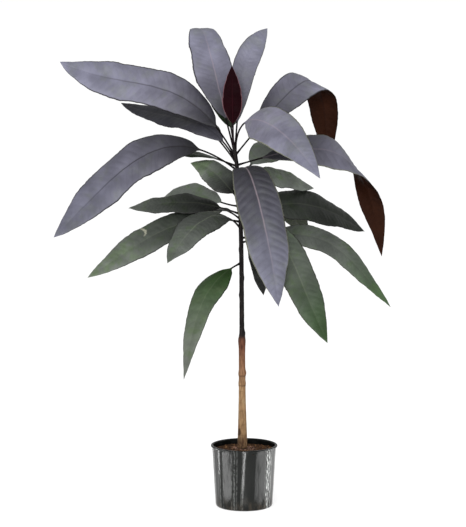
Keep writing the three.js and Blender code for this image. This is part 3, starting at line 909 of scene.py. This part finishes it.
leaves = [grow_leaf(name, row, index) for index, (name, row) in enumerate(LEAVES.items())]
print("leaves:", len(leaves), "with", sum(len(leaf.data.polygons) for leaf in leaves), "faces")

# %% [markdown]
# ## Roughening a surface
#
# Bark, creased plastic and soil all have relief that no one places by hand. One tree does it for
# all three: it moves each point along its normal by a cloudy number. The cloud can be stretched
# in height, so that it makes lengthwise fissures in bark and upright waves in a pot wall.

# %% Relief tree
RELIEF_INPUTS = {
    "Geometry": (GEOMETRY, None), "Cells per metre": (VECTOR, (200, 200, 60)),
    "Depth": (FLOAT, 0.0005), "Detail": (FLOAT, 3.0), "Seed": (FLOAT, 0.0), "Finish": (MATERIAL, None),
}


def relief_tree():
    outputs = {"Geometry": (GEOMETRY, None)}
    tree, g, out = new_tree("relief", "GeometryNodeTree", RELIEF_INPUTS, outputs)
    place, normal = place_and_normal(tree)
    cell = place.times(g["Cells per metre"]) + combine(tree, g["Seed"], 0.0, 0.0)
    offset = normal * (uneven(cell, 1.0, g["Detail"]) * 2 * g["Depth"])
    mesh = step(g["Geometry"], "GeometryNodeSetPosition", {"Offset": offset})
    finish_tree(step(mesh, "GeometryNodeSetShadeSmooth"), g["Finish"], out)
    return tree


RELIEF_TREE = relief_tree()
print("relief tree:", len(RELIEF_TREE.nodes), "nodes")


# %% Rings of points joined into a mesh
def ring_faces(rings, count):
    """Quads between rings of equal point count that go round anticlockwise and upward."""
    faces = []
    for r in range(rings - 1):
        for i in range(count):
            a, b = r * count + i, r * count + (i + 1) % count
            faces.append((a, b, b + count, a + count))
    return faces


def closed_shell(name, points, segments):
    """Rings of points joined into a mesh, with the first and the last closed by a flat face."""
    faces = ring_faces(len(points) // segments, segments)
    faces.append(tuple(reversed(range(segments))))
    faces.append(tuple(range(len(points) - segments, len(points))))
    return plain_mesh(name, points, faces)


print("a ring of 4 points on another makes", len(ring_faces(2, 4)), "faces, and 2 close the ends")

# %% [markdown]
# ## Bark
#
# The rootstock has thin brown bark with fine rings and pale lengthwise streaks. Towards the graft
# it turns salmon and then red-brown. The scion above is smooth and nearly black, with a purple
# cast. Old leaf scars ring the rootstock, its front has a small dark wound, and its foot is
# stained by the soil. The noise for the streaks is stretched along the stem and that for the rings
# across it, and every other feature is a colour laid on between two heights.

# %% Bark material
SCARS = (232, 251)  # heights of old leaf scars that ring the rootstock, in millimetres
WOUND = (-9.5, -6.5, 143)  # a small dark one, low on the front
WOUND_SHAPE = (1.0, 1.0, 0.4)  # longer along the stem than across
SALMON, RED, SCION = (UNION - 96, UNION - 50), (UNION - 40, UNION - 12), (UNION - 2, UNION + 12)
STAIN, DARKER_AT_FOOT = (STEM_FOOT + 34, STEM_FOOT + 8), (STEM_FOOT + 7, STEM_FOOT)

# Noises as scale, detail and roughness, and how far two of them are stretched.
STREAKS, RINGS, PATCHES, STAINS = (420, 4, 0.6), (520, 3, 0.6), (60, 3, 0.6), (150, 3, 0.6)
LENGTHWISE, ROUND = (1, 1, 0.14), (0.12, 0.12, 1)


def up_stem(height, start, end):
    """0 up to one height of the stem and 1 from the other on, both in millimetres."""
    return smooth(height, start * MM, end * MM)


def rootstock_bark(tree, place, streaks, rings, patches):
    height = split(place)[2]
    light = smooth(streaks, 0.3, 0.7)
    bark = blend(tree, light, paint(112, 84, 58), paint(158, 128, 94))
    bark = blend(tree, smooth(rings, 0.58, 0.68) * 0.6, bark, paint(78, 54, 40))
    bark = blend(tree, smooth(patches, 0.45, 0.7) * 0.6, bark, paint(150, 130, 100))
    salmon = blend(tree, light, paint(90, 57, 41), paint(136, 96, 72))
    red = blend(tree, light, paint(64, 38, 30), paint(114, 74, 56))
    bark = blend(tree, up_stem(height, *SALMON) * 0.8, bark, salmon)
    bark = blend(tree, up_stem(height, *RED), bark, red)
    for scar in SCARS:
        line = smooth(abs(height - scar * MM + (patches - 0.5) * 0.008), 0.0015, 0.0004)
        bark = blend(tree, line * smooth(streaks, 0.3, 0.6) * 0.8, bark, paint(60, 38, 28))
    off = [(axis - at * MM) * share for axis, at, share in zip(split(place), WOUND, WOUND_SHAPE)]
    wound = smooth(length_of(*off) + streaks * 0.002, 0.005, 0.003)
    return blend(tree, wound * 0.85, bark, paint(44, 28, 22))


def bark_material():
    material, tree, shader = finish_material("stem_bark", 0.75, 0.1)
    place = object_place(tree)
    height = split(place)[2]
    streaks = noise(place.times(LENGTHWISE), *STREAKS)
    rings = noise(place.times(ROUND), *RINGS)
    rootstock = rootstock_bark(tree, place, streaks, rings, noise(place, *PATCHES))
    scion = blend(tree, smooth(streaks, 0.4, 0.75), paint(14, 11, 12), paint(42, 36, 34))
    above = up_stem(height, *SCION)
    colour = blend(tree, above, rootstock, scion)
    low = up_stem(height, *STAIN)
    stain = noise(place.times((1, 1, 0.5)), *STAINS)
    colour = blend(tree, low * smooth(stain, 0.42, 0.58) * 0.85, colour, paint(62, 42, 32))
    colour = blend(tree, low * smooth(stain, 0.42, 0.3) * 0.6, colour, paint(172, 150, 138))
    # Darker towards the very foot, over the last few millimetres above the soil.
    colour = blend(tree, up_stem(height, *DARKER_AT_FOOT) * 0.75, colour, paint(46, 30, 20))
    colour.feed(shader.inputs["Base Color"])
    mix(0.8, 0.5, above).feed(shader.inputs["Roughness"])
    raise_by(tree, shader, streaks + rings, 0.0004)
    return material


BARK = bark_material()
print("bark:", len(BARK.node_tree.nodes), "nodes")

# %% Trunk
TRUNK_SIDES = 48
TRUNK_STEP = 1.6  # between rings, in millimetres


def trunk_base():
    """The stem as the rule gives it, in rings, with the bud at its tip."""
    headings = [i * 360 / TRUNK_SIDES for i in range(TRUNK_SIDES)]
    points = []
    for z in np.arange(STEM_FOOT, STEM_TOP, TRUNK_STEP):
        for heading in headings:
            points.append((stem_centre(z) + direction(heading) * stem_radius(z, heading)) * MM)
    for share, width in [(0.0, 1.0)] + BUD_RINGS:
        centre = stem_centre(STEM_TOP + BUD_LENGTH * share)
        for heading in headings:
            points.append((centre + direction(heading) * SCION_TOP * width) * MM)
    return closed_shell("trunk_base", points, TRUNK_SIDES)


trunk = grow("trunk_bark", RELIEF_TREE, {
    "Cells per metre": (330, 330, 90), "Depth": 0.0004, "Detail": 4.0, "Finish": BARK,
}, trunk_base())
settle(trunk, "trunk")
print("trunk:", len(trunk.data.polygons), "faces")

# %% [markdown]
# ## The pot
#
# A nursery pot is thin black plastic with a narrow lip. Its wall isn't smooth: it was squeezed and
# knocked, so it is a ring of flat panels between upright creases, and some creases run together
# lower down. The pot is turned from a half section, as on a lathe, and the creases are pressed into
# it by a rule: each has a heading and a depth at the top and at the foot, and the wall runs straight
# from one crease to the next. Noise could dent the wall too, but only flat panels mirror a lamp as
# one clean upright streak, which is what tells thin plastic from a thick glazed pot.

# %% Pot dimensions, in millimetres
POT_HEIGHT = 118
POT_BASE, POT_TOP, POT_RIM = 54, 60.5, 63.5
POT_WALL = 1.5
LIP_HEIGHT, LIP_ROUND = 3, 0.6
BASE_ROUND, INNER_ROUND = 4, 3
CREASE_RISE, CREASE_FADE = 26, 7
DRAIN_HOLES, DRAIN_RADIUS, DRAIN_CIRCLE, DRILL_SIDES = 6, 5, 36, 32
CENTRE = 6  # radius of the flat face that closes the middle of a floor
POT_SEGMENTS = 360
CORNER_ROWS, WALL_ROWS, INNER_ROWS = 6, 80, 30
print("pot:", POT_HEIGHT, "mm high and", 2 * POT_RIM, "mm across the rim")

# %% Creases of the wall
FRONT = -90  # heading of the pot's front
# Creases on the front: turn from the front at the top and at the foot, how far out of round there,
# and how pale it is painted along the crease, partly stress whitening and partly a painted highlight.
FRONT_CREASES = [
    (-74, -74, -0.5, -0.3, 0.2), (-56, -58, 0.2, 0.2, 0.1), (-51.5, -54, 0.3, 0.3, 0.2),
    (-44, -46, -0.2, 0.0, 0.1), (-22.5, -26, 0.3, 0.3, 0.1), (-18, -21, -0.5, -0.2, 0.2),
    (-13, -16, -0.3, -0.5, 0.1), (-2, -7, 0.0, 0.3, 0.1), (3, -4.5, -0.15, 0.07, 0.1),
    (21.5, 18, -0.3, -0.3, 0.0), (43, 44, 0.3, 0.3, 0.1), (48, 50, -0.6, -0.4, 0.9),
    (54, 54, 0.5, 0.4, 0.8), (60, 62, -0.4, -0.2, 0.6), (75, 75, 0.4, 0.3, 0.2),
]
BACK_CREASES, BACK_DEPTH, BACK_WHITE = 13, 0.6, 0.12


def crease_lines():
    """All creases round the pot, by rising turn from the front, and the first once more."""
    first, last = FRONT_CREASES[0][0], FRONT_CREASES[-1][0]
    gap = (360 + first - last) / (BACK_CREASES + 1)
    back = []
    for i in range(1, BACK_CREASES + 1):
        # Waves that don't fit the count keep the gaps, the depths and the leans unlike each other.
        turn = last + gap * (i + 0.25 * math.sin(2.4 * i))
        depth = BACK_DEPTH * (1 if i % 2 else -1) * (0.8 + 0.3 * math.sin(1.7 * i))
        back.append((turn, turn + 2 * math.sin(3.1 * i), depth, depth * 0.5, BACK_WHITE))
    top, foot, *rest = FRONT_CREASES[0]
    return FRONT_CREASES + back + [(top + 360, foot + 360, *rest)]


CREASES = crease_lines()
print("creases:", len(CREASES) - 1)


# %% The wall between creases
WRINKLES, WRINKLES_SPREAD, WRINKLE_DEPTH = 53, 9, 0.35  # small curly ones, round a turn
CURLS = ((0.42, 0.9), (0.19, -0.5))  # two waves: how fast they run up the wall and round it
CREASE_WIDTH, CREASE_BENDS = 1.3, (0.16, 0.37)  # of the pale line of whitening and painted highlight, in degrees, and its waves


def wall_radius(z):
    return POT_BASE + (POT_TOP - POT_BASE) * z / POT_HEIGHT


def creases_at(z):
    """Turn, radius and whitening of every crease at a height."""
    down = 1 - z / POT_HEIGHT
    lines = []
    for top, foot, out, low, white in CREASES:
        lines.append((top + (foot - top) * down, wall_radius(z) + out + (low - out) * down, white))
    return lines


def crease_turn(heading, lines):
    """A heading as a turn from the front that lies between the first crease and the last."""
    return (heading - FRONT - lines[0][0]) % 360 + lines[0][0]


def crease_depth(heading, z):
    """How far the wall stands out of round: it runs straight from one crease to the next."""
    lines = creases_at(z)
    turn = crease_turn(heading, lines)
    (left, near, _), (right, far, _) = next(
        pair for pair in zip(lines, lines[1:]) if pair[0][0] <= turn <= pair[1][0]
    )
    before, after = math.radians(turn - left), math.radians(right - turn)
    reach = math.sin(before + after) / (math.sin(after) / near + math.sin(before) / far)
    curls = math.prod(math.sin(up * z + around * turn) for up, around in CURLS)
    curls *= WRINKLE_DEPTH * bell(turn - WRINKLES, WRINKLES_SPREAD)
    rise = ease((z - BASE_ROUND) / CREASE_RISE)
    fade = ease((POT_HEIGHT - LIP_HEIGHT - z) / CREASE_FADE)
    return (reach - wall_radius(z) + curls) * rise * fade


def whitening_and_highlight(heading, z):
    """How pale the wall is there, from 0 to 1: partly stress whitening, partly a painted highlight. The
    worst lines wander the most.
    """
    lines = creases_at(z)
    turn = crease_turn(heading, lines)
    bend = sum(math.sin(wave * z) for wave in CREASE_BENDS)
    return max(white * bell(turn - line - bend * white, CREASE_WIDTH) for line, _, white in lines)


middle = POT_HEIGHT / 2
depths = [crease_depth(heading, middle) for heading in range(360)]
print("half way up the wall stands", round(min(depths), 2), "to", round(max(depths), 2), "mm off round")


# %% Turning a half section
def turned(profile, segments, creased_from, raised_by=None):
    """Points of a half section turned about Z, with the creases pressed into what lies far out."""
    points = []
    for radius, z in profile:
        for i in range(segments):
            heading = i * 360 / segments
            height = z + (raised_by(heading, radius, z) if raised_by else 0)
            reach = radius + (crease_depth(heading, height) if radius > creased_from else 0)
            points.append((direction(heading) * reach + Vector((0, 0, height))) * MM)
    return points


def evenly(start, end, count):
    """Numbers from start to end with equal steps between them, both ends included."""
    return [start + (end - start) * i / count for i in range(count + 1)]


print("rows up the wall, every", round((POT_HEIGHT - LIP_HEIGHT - BASE_ROUND) / WALL_ROWS, 2), "mm")

# %% Pot material
FILM, TORN, SPECKS = (90, 4, 0.6), (260, 4, 0.7), (1400, 2)  # noises: scale, detail, roughness
DUST_TOP = 0.03  # the foot is soiled up to here, in metres


def pot_material():
    """Shiny black film with a little dust, soiled at the foot, and pale along its creases with stress
    whitening and a painted highlight.
    """
    material, tree, shader = finish_material("black_plastic", 0.3, 0.15)
    place = object_place(tree)
    film = noise(place.times((1, 1, 0.35)), *FILM)
    specks = noise(place, *SPECKS)
    torn = noise(place.times((1, 1, 0.6)), *TORN)
    foot = smooth(split(place)[2], DUST_TOP, 0.0)
    dust = foot * smooth(film, 0.4, 0.75) * 0.25 + smooth(specks, 0.68, 0.8) * 0.1
    # Painted highlight: the pale lines along the creases are partly stress whitening and partly
    # highlight laid into the colour.
    white = attribute(tree, "white") * smooth(torn, 0.36, 0.58)
    colour = blend(tree, dust, paint(13, 14, 13), paint(96, 84, 70))
    blend(tree, white, colour, paint(150, 152, 150)).feed(shader.inputs["Base Color"])
    (mix(0.14, 0.26, film) + dust * 0.3).feed(shader.inputs["Roughness"])
    raise_by(tree, shader, film + white * 0.5, 0.0008)
    return material


POT_PLASTIC = pot_material()
print("plastic:", len(POT_PLASTIC.node_tree.nodes), "nodes")

# %% Half section of the pot
def pot_profile():
    """The half section from the middle of the underside, round the lip and back to the floor."""
    mouth = wall_radius(POT_HEIGHT) - POT_WALL
    under_lip = POT_HEIGHT - LIP_HEIGHT
    corner = []
    for angle in evenly(0, 90, CORNER_ROWS):
        sin, cos = math.sin(math.radians(angle)), math.cos(math.radians(angle))
        corner.append((POT_BASE - BASE_ROUND * (1 - sin), BASE_ROUND * (1 - cos)))
    outer = [(wall_radius(z), z) for z in evenly(BASE_ROUND + 1, under_lip, WALL_ROWS)]
    lip = [
        (POT_RIM - LIP_ROUND, under_lip), (POT_RIM - LIP_ROUND * 0.3, under_lip + LIP_ROUND * 0.6),
        (POT_RIM, POT_HEIGHT - LIP_HEIGHT / 2), (POT_RIM - LIP_ROUND * 0.3, POT_HEIGHT - LIP_ROUND),
        (POT_RIM - LIP_ROUND, POT_HEIGHT - LIP_ROUND / 2), (POT_RIM - LIP_ROUND * 2.5, POT_HEIGHT),
        (mouth + LIP_ROUND, POT_HEIGHT), (mouth, POT_HEIGHT - LIP_ROUND),
    ]
    down = evenly(under_lip, POT_FLOOR + INNER_ROUND, INNER_ROWS)
    inner = [(wall_radius(z) - POT_WALL, z) for z in down]
    floor_edge = wall_radius(POT_FLOOR) - POT_WALL - INNER_ROUND
    floor = [(floor_edge, POT_FLOOR), (CENTRE, POT_FLOOR)]
    return [(CENTRE, 0)] + corner + outer + lip + inner + floor


print("half section:", len(pot_profile()), "points")

# %% [markdown]
# The six drain holes are cut by a Boolean, as a drill would. The tool is one mesh of six short
# rods, and it is thrown away once the cut is made.

# %% Drain holes, and the finished pot
def drain_rods():
    """One mesh of short rods that stand where the holes go."""
    points, faces = [], []
    ends = [tuple(reversed(range(DRILL_SIDES))), tuple(range(DRILL_SIDES, 2 * DRILL_SIDES))]
    for hole in range(DRAIN_HOLES):
        middle = direction(hole * 360 / DRAIN_HOLES) * DRAIN_CIRCLE
        first = len(points)
        for z in (-POT_FLOOR, 2 * POT_FLOOR):
            for i in range(DRILL_SIDES):
                side = direction(i * 360 / DRILL_SIDES) * DRAIN_RADIUS
                points.append((middle + side + Vector((0, 0, z))) * MM)
        faces += [tuple(first + i for i in face) for face in ring_faces(2, DRILL_SIDES) + ends]
    return link("drain_rods", plain_mesh("drain_rods", points, faces))


def drilled(mesh):
    """The mesh with the drain holes cut through it."""
    rods = drain_rods()
    blank = link("pot_blank", mesh)
    cut = blank.modifiers.new("drain holes", "BOOLEAN")
    cut.operation = "DIFFERENCE"
    cut.solver = "EXACT"
    cut.object = rods
    result = evaluated_mesh(blank)
    for spent in (blank, rods):
        bpy.data.objects.remove(spent)
    return result


def mark_white_and_highlight(mesh):
    """Marks each point of the wall's outside with its whitening and painted highlight."""
    white_and_highlight_marks = mesh.attributes.new("white", "FLOAT", "POINT")
    for vertex, white in zip(mesh.vertices, white_and_highlight_marks.data):
        x, y, z = vertex.co / MM
        if vertex.normal.dot(Vector((x, y, 0)).normalized()) > 0.5:
            white.value = whitening_and_highlight(math.degrees(math.atan2(y, x)), z)


pot_points = turned(pot_profile(), POT_SEGMENTS, POT_BASE - BASE_ROUND)
pot_shell = closed_shell("pot_shell", pot_points, POT_SEGMENTS)
mark_white_and_highlight(pot_shell)
pot = grow("pot_wall", RELIEF_TREE, {
    "Cells per metre": (70, 70, 34), "Depth": 0.0002, "Detail": 2.0, "Finish": POT_PLASTIC,
}, drilled(pot_shell))
settle(pot, "pot")
print("pot:", len(pot.data.polygons), "faces")

# %% [markdown]
# ## The soil
#
# Potting soil is crumbly: a rough bed, loose crumbs of many sizes and shades on top of it, and bits
# of root. The bed is turned like the pot, and heaped towards the front. The crumbs are scattered
# over its upper face by a tree, which is how nature does it, and the tree leaves out the patch
# where the stem stands. A crumb has only twenty faces, because there are many.

# %% Soil dimensions, in millimetres
SOIL_DROP = 3.5  # the surface is lower at the wall
SOIL_HEAP, HEAP_SPREAD = 8, 1.3  # but is heaped up towards the front, to just under the rim
SOIL_FLAT = 16  # radius round the stem inside which nothing is heaped
SOIL_GAP = 0.6  # from the pot's wall
SOIL_LIFT, SOIL_SINK = 0.3, 0.4  # the bed stands clear of the floor, and leaves room for crumbs
SOIL_SEGMENTS, SOIL_ROWS, SOIL_RINGS, SOIL_CENTRE = 180, 12, 40, 4


def heaped_by(heading, radius, z):
    """How far the surface is heaped up at a place on it. Lower down nothing is raised."""
    if z < SOIL_TOP - SOIL_DROP - 1:
        return 0.0
    toward_front = ease(math.cos(math.radians(heading - FRONT)) * HEAP_SPREAD)
    return SOIL_HEAP * toward_front * ease((radius - SOIL_FLAT) / (POT_TOP - SOIL_FLAT))


def soil_profile():
    """The half section from the middle of the underside, up the side and in to the middle."""
    rows = evenly(POT_FLOOR + INNER_ROUND, SOIL_TOP - SOIL_DROP, SOIL_ROWS)
    side = [(wall_radius(z) - POT_WALL - SOIL_GAP, z) for z in rows]
    reach = side[-1][0]
    top = []
    for radius in evenly(reach, SOIL_CENTRE, SOIL_RINGS)[1:]:
        down = ease((radius - SOIL_FLAT) / (reach - SOIL_FLAT)) * SOIL_DROP
        top.append((radius, SOIL_TOP - SOIL_SINK - down))
    underside = POT_FLOOR + SOIL_LIFT
    return [(CENTRE, underside), (side[0][0] - INNER_ROUND, underside)] + side + top


print("soil:", round(POT_HEIGHT - SOIL_TOP, 1), "mm under the rim, heaped by", SOIL_HEAP, "mm in front")

# %% Soil material
GRAIN, PATCH = (900, 4, 0.7), (120, 3, 0.6)  # noises: scale, detail, roughness
PALE_OUT, PALE_IN = 0.03, 0.012  # the pale patch round the stem, in metres


def soil_material():
    """Dark moist soil. Each crumb has a shade of its own, and they are palest round the stem."""
    material, tree, shader = finish_material("moist_soil", 0.95, 0.25)
    place = object_place(tree)
    grain = noise(place, *GRAIN)
    shade = attribute(tree, "shade")
    x, y, _ = split(place)
    near_stem = smooth(length_of(x, y), PALE_OUT, PALE_IN)
    patch = smooth(noise(place, *PATCH), 0.35, 0.65)
    colour = blend(tree, patch, paint(24, 16, 10), paint(80, 52, 30))
    colour = blend(tree, smooth(shade, 0.78, 0.95), colour, paint(146, 108, 72))
    colour = blend(tree, smooth(shade, 0.35, 0.1), colour, paint(20, 13, 9))
    colour = blend(tree, smooth(shade, 0.4, 0.7) * near_stem, colour, paint(176, 138, 122))
    colour = blend(tree, smooth(grain, 0.4, 0.75) * 0.35, colour, paint(118, 84, 60))
    colour.feed(shader.inputs["Base Color"])
    raise_by(tree, shader, grain, 0.0006)
    return material


MOIST_SOIL = soil_material()
print("soil finish:", len(MOIST_SOIL.node_tree.nodes), "nodes")

# %% Random draws of the crumb tree
SEEDS = {
    "size": 1, "place": 3, "turn": 5, "root length": 8, "root heading": 9, "root place": 12, "shade": 15,
}
FULL_TURN = 6.28  # radians
MOST_A_SQUARE_METRE = 4e6  # more than the spacing leaves room for


def scatter(tree, bed, distance, draw, keep):
    """Points on the bed no closer than a distance, where keep is true."""
    node = add_node(tree, "GeometryNodeDistributePointsOnFaces", {
        "Mesh": bed, "Selection": keep, "Distance Min": distance,
        "Density Max": MOST_A_SQUARE_METRE, "Seed": SEEDS[draw],
    }, distribute_method="POISSON")
    return Wire(tree, node.outputs["Points"])


def random_number(tree, low, high, draw):
    inputs = {2: low, 3: high, "Seed": SEEDS[draw]}
    node = add_node(tree, "FunctionNodeRandomValue", inputs, data_type="FLOAT")
    return Wire(tree, node.outputs[1])


def random_turn(tree, draw):
    inputs = {0: (0.0, 0.0, 0.0), 1: (FULL_TURN, FULL_TURN, FULL_TURN), "Seed": SEEDS[draw]}
    node = add_node(tree, "FunctionNodeRandomValue", inputs, data_type="FLOAT_VECTOR")
    return Arrow(tree, node.outputs[0])


print("random draws:", len(SEEDS))


# %% Crumb tree
CRUMB_INPUTS = {
    "Geometry": (GEOMETRY, None), "Stem clearance": (FLOAT, 0.011),
    "Crumb spacing": (FLOAT, 0.0019), "Crumb size": (FLOAT, 0.0021),
    "Root spacing": (FLOAT, 0.011), "Root length": (FLOAT, 0.012), "Root thickness": (FLOAT, 0.03),
    "Finish": (MATERIAL, None),
}


def crumbs_on(tree, g, keep):
    """Crumbs a little flatter than round. The power makes most of them small."""
    crumb = add_node(tree, "GeometryNodeMeshIcoSphere", {"Radius": g["Crumb size"], "Subdivisions": 1})
    size = random_number(tree, 0.6, 1.0, "size") ** 4
    return add_node(tree, "GeometryNodeInstanceOnPoints", {
        "Points": scatter(tree, g["Geometry"], g["Crumb spacing"], "place", keep),
        "Instance": Wire(tree, crumb.outputs[0]), "Rotation": random_turn(tree, "turn"),
        "Scale": combine(tree, size, size * 0.85, size * 0.7),
    })


def roots_on(tree, g, keep):
    """Short bent bits of root that lie level. They are made 1 m long and scaled."""
    path = add_node(tree, "GeometryNodeCurveQuadraticBezier", {
        "Resolution": 6, "Start": (-0.5, 0.0, 0.0), "Middle": (0.0, 0.35, 0.1), "End": (0.5, 0.0, 0.0),
    })
    ring = add_node(tree, "GeometryNodeCurvePrimitiveCircle", {
        "Resolution": 5, "Radius": g["Root thickness"],
    })
    root = add_node(tree, "GeometryNodeCurveToMesh", {
        0: Wire(tree, path.outputs[0]), 1: Wire(tree, ring.outputs[0]), "Fill Caps": True,
    })
    long = g["Root length"] * random_number(tree, 0.4, 1.0, "root length")
    lying = combine(tree, 0.0, 0.0, random_number(tree, 0.0, FULL_TURN, "root heading"))
    return add_node(tree, "GeometryNodeInstanceOnPoints", {
        "Points": scatter(tree, g["Geometry"], g["Root spacing"], "root place", keep),
        "Instance": Wire(tree, root.outputs[0]), "Rotation": lying,
        "Scale": combine(tree, long, long, long),
    })


def crumb_tree():
    outputs = {"Geometry": (GEOMETRY, None)}
    tree, g, out = new_tree("crumbs", "GeometryNodeTree", CRUMB_INPUTS, outputs)
    place, normal = place_and_normal(tree)
    x, y, _ = split(place)
    on_top = split(normal)[2].math("GREATER_THAN", 0.6)
    keep = on_top * length_of(x, y).math("GREATER_THAN", g["Stem clearance"])
    joined = tree.nodes.new("GeometryNodeJoinGeometry")
    for make in (crumbs_on, roots_on):
        loose = Wire(tree, make(tree, g, keep).outputs[0])
        shaded = store(loose, "shade", random_number(tree, 0.0, 1.0, "shade"), "INSTANCE")
        step(shaded, "GeometryNodeRealizeInstances").feed(joined.inputs[0])
    bed = step(g["Geometry"], "GeometryNodeStoreNamedAttribute", {"Name": "shade", "Value": 0.5})
    bed.feed(joined.inputs[0])
    finish_tree(Wire(tree, joined.outputs[0]), g["Finish"], out)
    return tree


CRUMB_TREE = crumb_tree()
print("crumb tree:", len(CRUMB_TREE.nodes), "nodes")

# %% Soil
soil_points = turned(soil_profile(), SOIL_SEGMENTS, POT_TOP * 0.8, heaped_by)
soil_bed = closed_shell("soil_bed", soil_points, SOIL_SEGMENTS)
rough_bed = grow("rough_bed", RELIEF_TREE, {
    "Cells per metre": (420, 420, 420), "Depth": 0.0005, "Detail": 3.0, "Finish": MOIST_SOIL,
}, soil_bed)
soil = grow("soil_crumbs", CRUMB_TREE, {"Finish": MOIST_SOIL}, rough_bed.data)
bpy.data.objects.remove(rough_bed)
settle(soil, "soil")
print("soil:", len(soil.data.polygons), "faces")

# %% [markdown]
# ## Stage, light and camera
#
# A plain pale floor that runs out of sight, an even sky and one large soft lamp over the front,
# a little to the left. The front lamp does most of the work: what faces it is light, with a veil
# of gloss, and what faces up stays darker, and on the leaves it is painted darker as well. The
# camera sees the sky brighter than it lights, so that the backdrop is white, and a lamp of its own
# keeps the floor as white. Lamps can be linked to the only things that they light, as a studio
# does with screens and flags.
#
# Shiny black plastic shows hardly any light of its own, only what it mirrors. A flat panel that
# faces a certain turn mirrors what stands twice as far round, so a low upright strip lamp stands
# there for each panel that should show a streak. Each strip lights the pot and nothing else.

# %% Floor
FLOOR_SIZE = 60.0


def floor_piece():
    half = FLOOR_SIZE / 2
    corners = [(-half, -half, 0), (half, -half, 0), (half, half, 0), (-half, half, 0)]
    floor = link("floor", plain_mesh("floor", corners, [(0, 1, 2, 3)]))
    material, tree, shader = finish_material("floor_paint", 0.9, 0.2)
    cloud = noise(object_place(tree), 0.6, 2)
    blend(tree, cloud, paint(250, 250, 250), paint(253, 253, 253)).feed(shader.inputs["Base Color"])
    floor.data.materials.append(material)
    return floor


stage_floor = floor_piece()
print("floor:", FLOOR_SIZE, "m wide")

# %% Sky and lamps
SKY_LIGHT, SKY_SEEN = 0.55, 1.03
FLOOR_LAMP_PLACE, FLOOR_LAMP_AIM, FLOOR_POWER = (0, 0, 3), (0, 0.001, 0), 1.7
FRONT_PLACE, FRONT_AIM, FRONT_SIZE, FRONT_POWER = (-0.6, -4.4, 1.9), (0, 0, 0.6), (2.6, 2.0), 130


def sky():
    world = bpy.data.worlds.new("sky")
    world.use_nodes = True
    tree = world.node_tree
    seen = Wire(tree, tree.nodes.new("ShaderNodeLightPath").outputs["Is Camera Ray"])
    background = tree.nodes["Background"]
    background.inputs["Color"].default_value = (1.0, 1.0, 1.0, 1.0)
    mix(SKY_LIGHT, SKY_SEEN, seen).feed(background.inputs["Strength"])
    scene.world = world


def place_light(data, place, target, only=None):
    """Puts a lamp in the scene, aimed at a target. It may light only one thing."""
    light = link(data.name, data)
    light.location = place
    light.rotation_euler = (Vector(target) - Vector(place)).to_track_quat("-Z", "Y").to_euler()
    light.visible_camera = False
    if only:
        lit = bpy.data.collections.new(f"{data.name} lights")
        lit.objects.link(only)
        light.light_linking.receiver_collection = lit


def soft_lamp(name, place, target, size, power, only=None):
    data = bpy.data.lights.new(name, "AREA")
    data.shape = "RECTANGLE"
    data.size, data.size_y = size
    data.energy = power
    place_light(data, place, target, only)


def floor_lamp():
    data = bpy.data.lights.new("floor_lamp", "SUN")
    data.energy = FLOOR_POWER
    data.use_shadow = False
    place_light(data, FLOOR_LAMP_PLACE, FLOOR_LAMP_AIM, stage_floor)


sky()
floor_lamp()
soft_lamp("front", FRONT_PLACE, FRONT_AIM, FRONT_SIZE, FRONT_POWER)
scene.view_settings.view_transform = "Standard"
print("lamps:", len(bpy.data.lights), "and a sky")

# %% Strips for the pot to mirror
STRIP_TOP, STRIP_AWAY = 110, 70
# For each strip where its panel is and which way it faces, as turns from the front, then the
# strip's width, the height of its foot and its power.
STRIPS = [
    ((-54, -55), 8, 50, 0.05), ((-36, -37), 22, 0, 0.1), ((0.5, 2), 6, 0, 0.16),
    ((34, 34), 30, 0, 0.09), ((50, 46), 12, 0, 0.085), ((62, 65), 16, 0, 0.015),
]


def strip(name, panel, width, foot, power):
    """A low strip that one panel of the pot mirrors towards the front."""
    turn, facing = panel
    middle = (foot + STRIP_TOP) / 2
    start = direction(FRONT + turn) * wall_radius(middle) + Vector((0, 0, middle))
    stand = start + direction(FRONT + 2 * facing) * STRIP_AWAY
    soft_lamp(name, stand * MM, start * MM, (width * MM, (STRIP_TOP - foot) * MM), power, pot)


for number, row in enumerate(STRIPS):
    strip(f"strip_{number}", *row)
print("strips:", len(STRIPS), "of", STRIP_TOP, "mm or less")

# %% Camera
CAMERA_PLACE = (-0.0212, -4.0, 0.948)
CAMERA_DIP = 6.88  # degrees below level
CAMERA_LENS = 145.9  # on a sensor 36 mm high
CAMERA_REACH = 200


def camera():
    data = bpy.data.cameras.new("camera")
    data.lens = CAMERA_LENS
    data.clip_end = CAMERA_REACH
    view = link("camera", data)
    view.location = CAMERA_PLACE
    view.rotation_euler = (math.radians(90 - CAMERA_DIP), 0, 0)
    scene.camera = view


camera()
print("camera:", round(-CAMERA_PLACE[1], 2), "m in front, with a lens of", CAMERA_LENS, "mm")
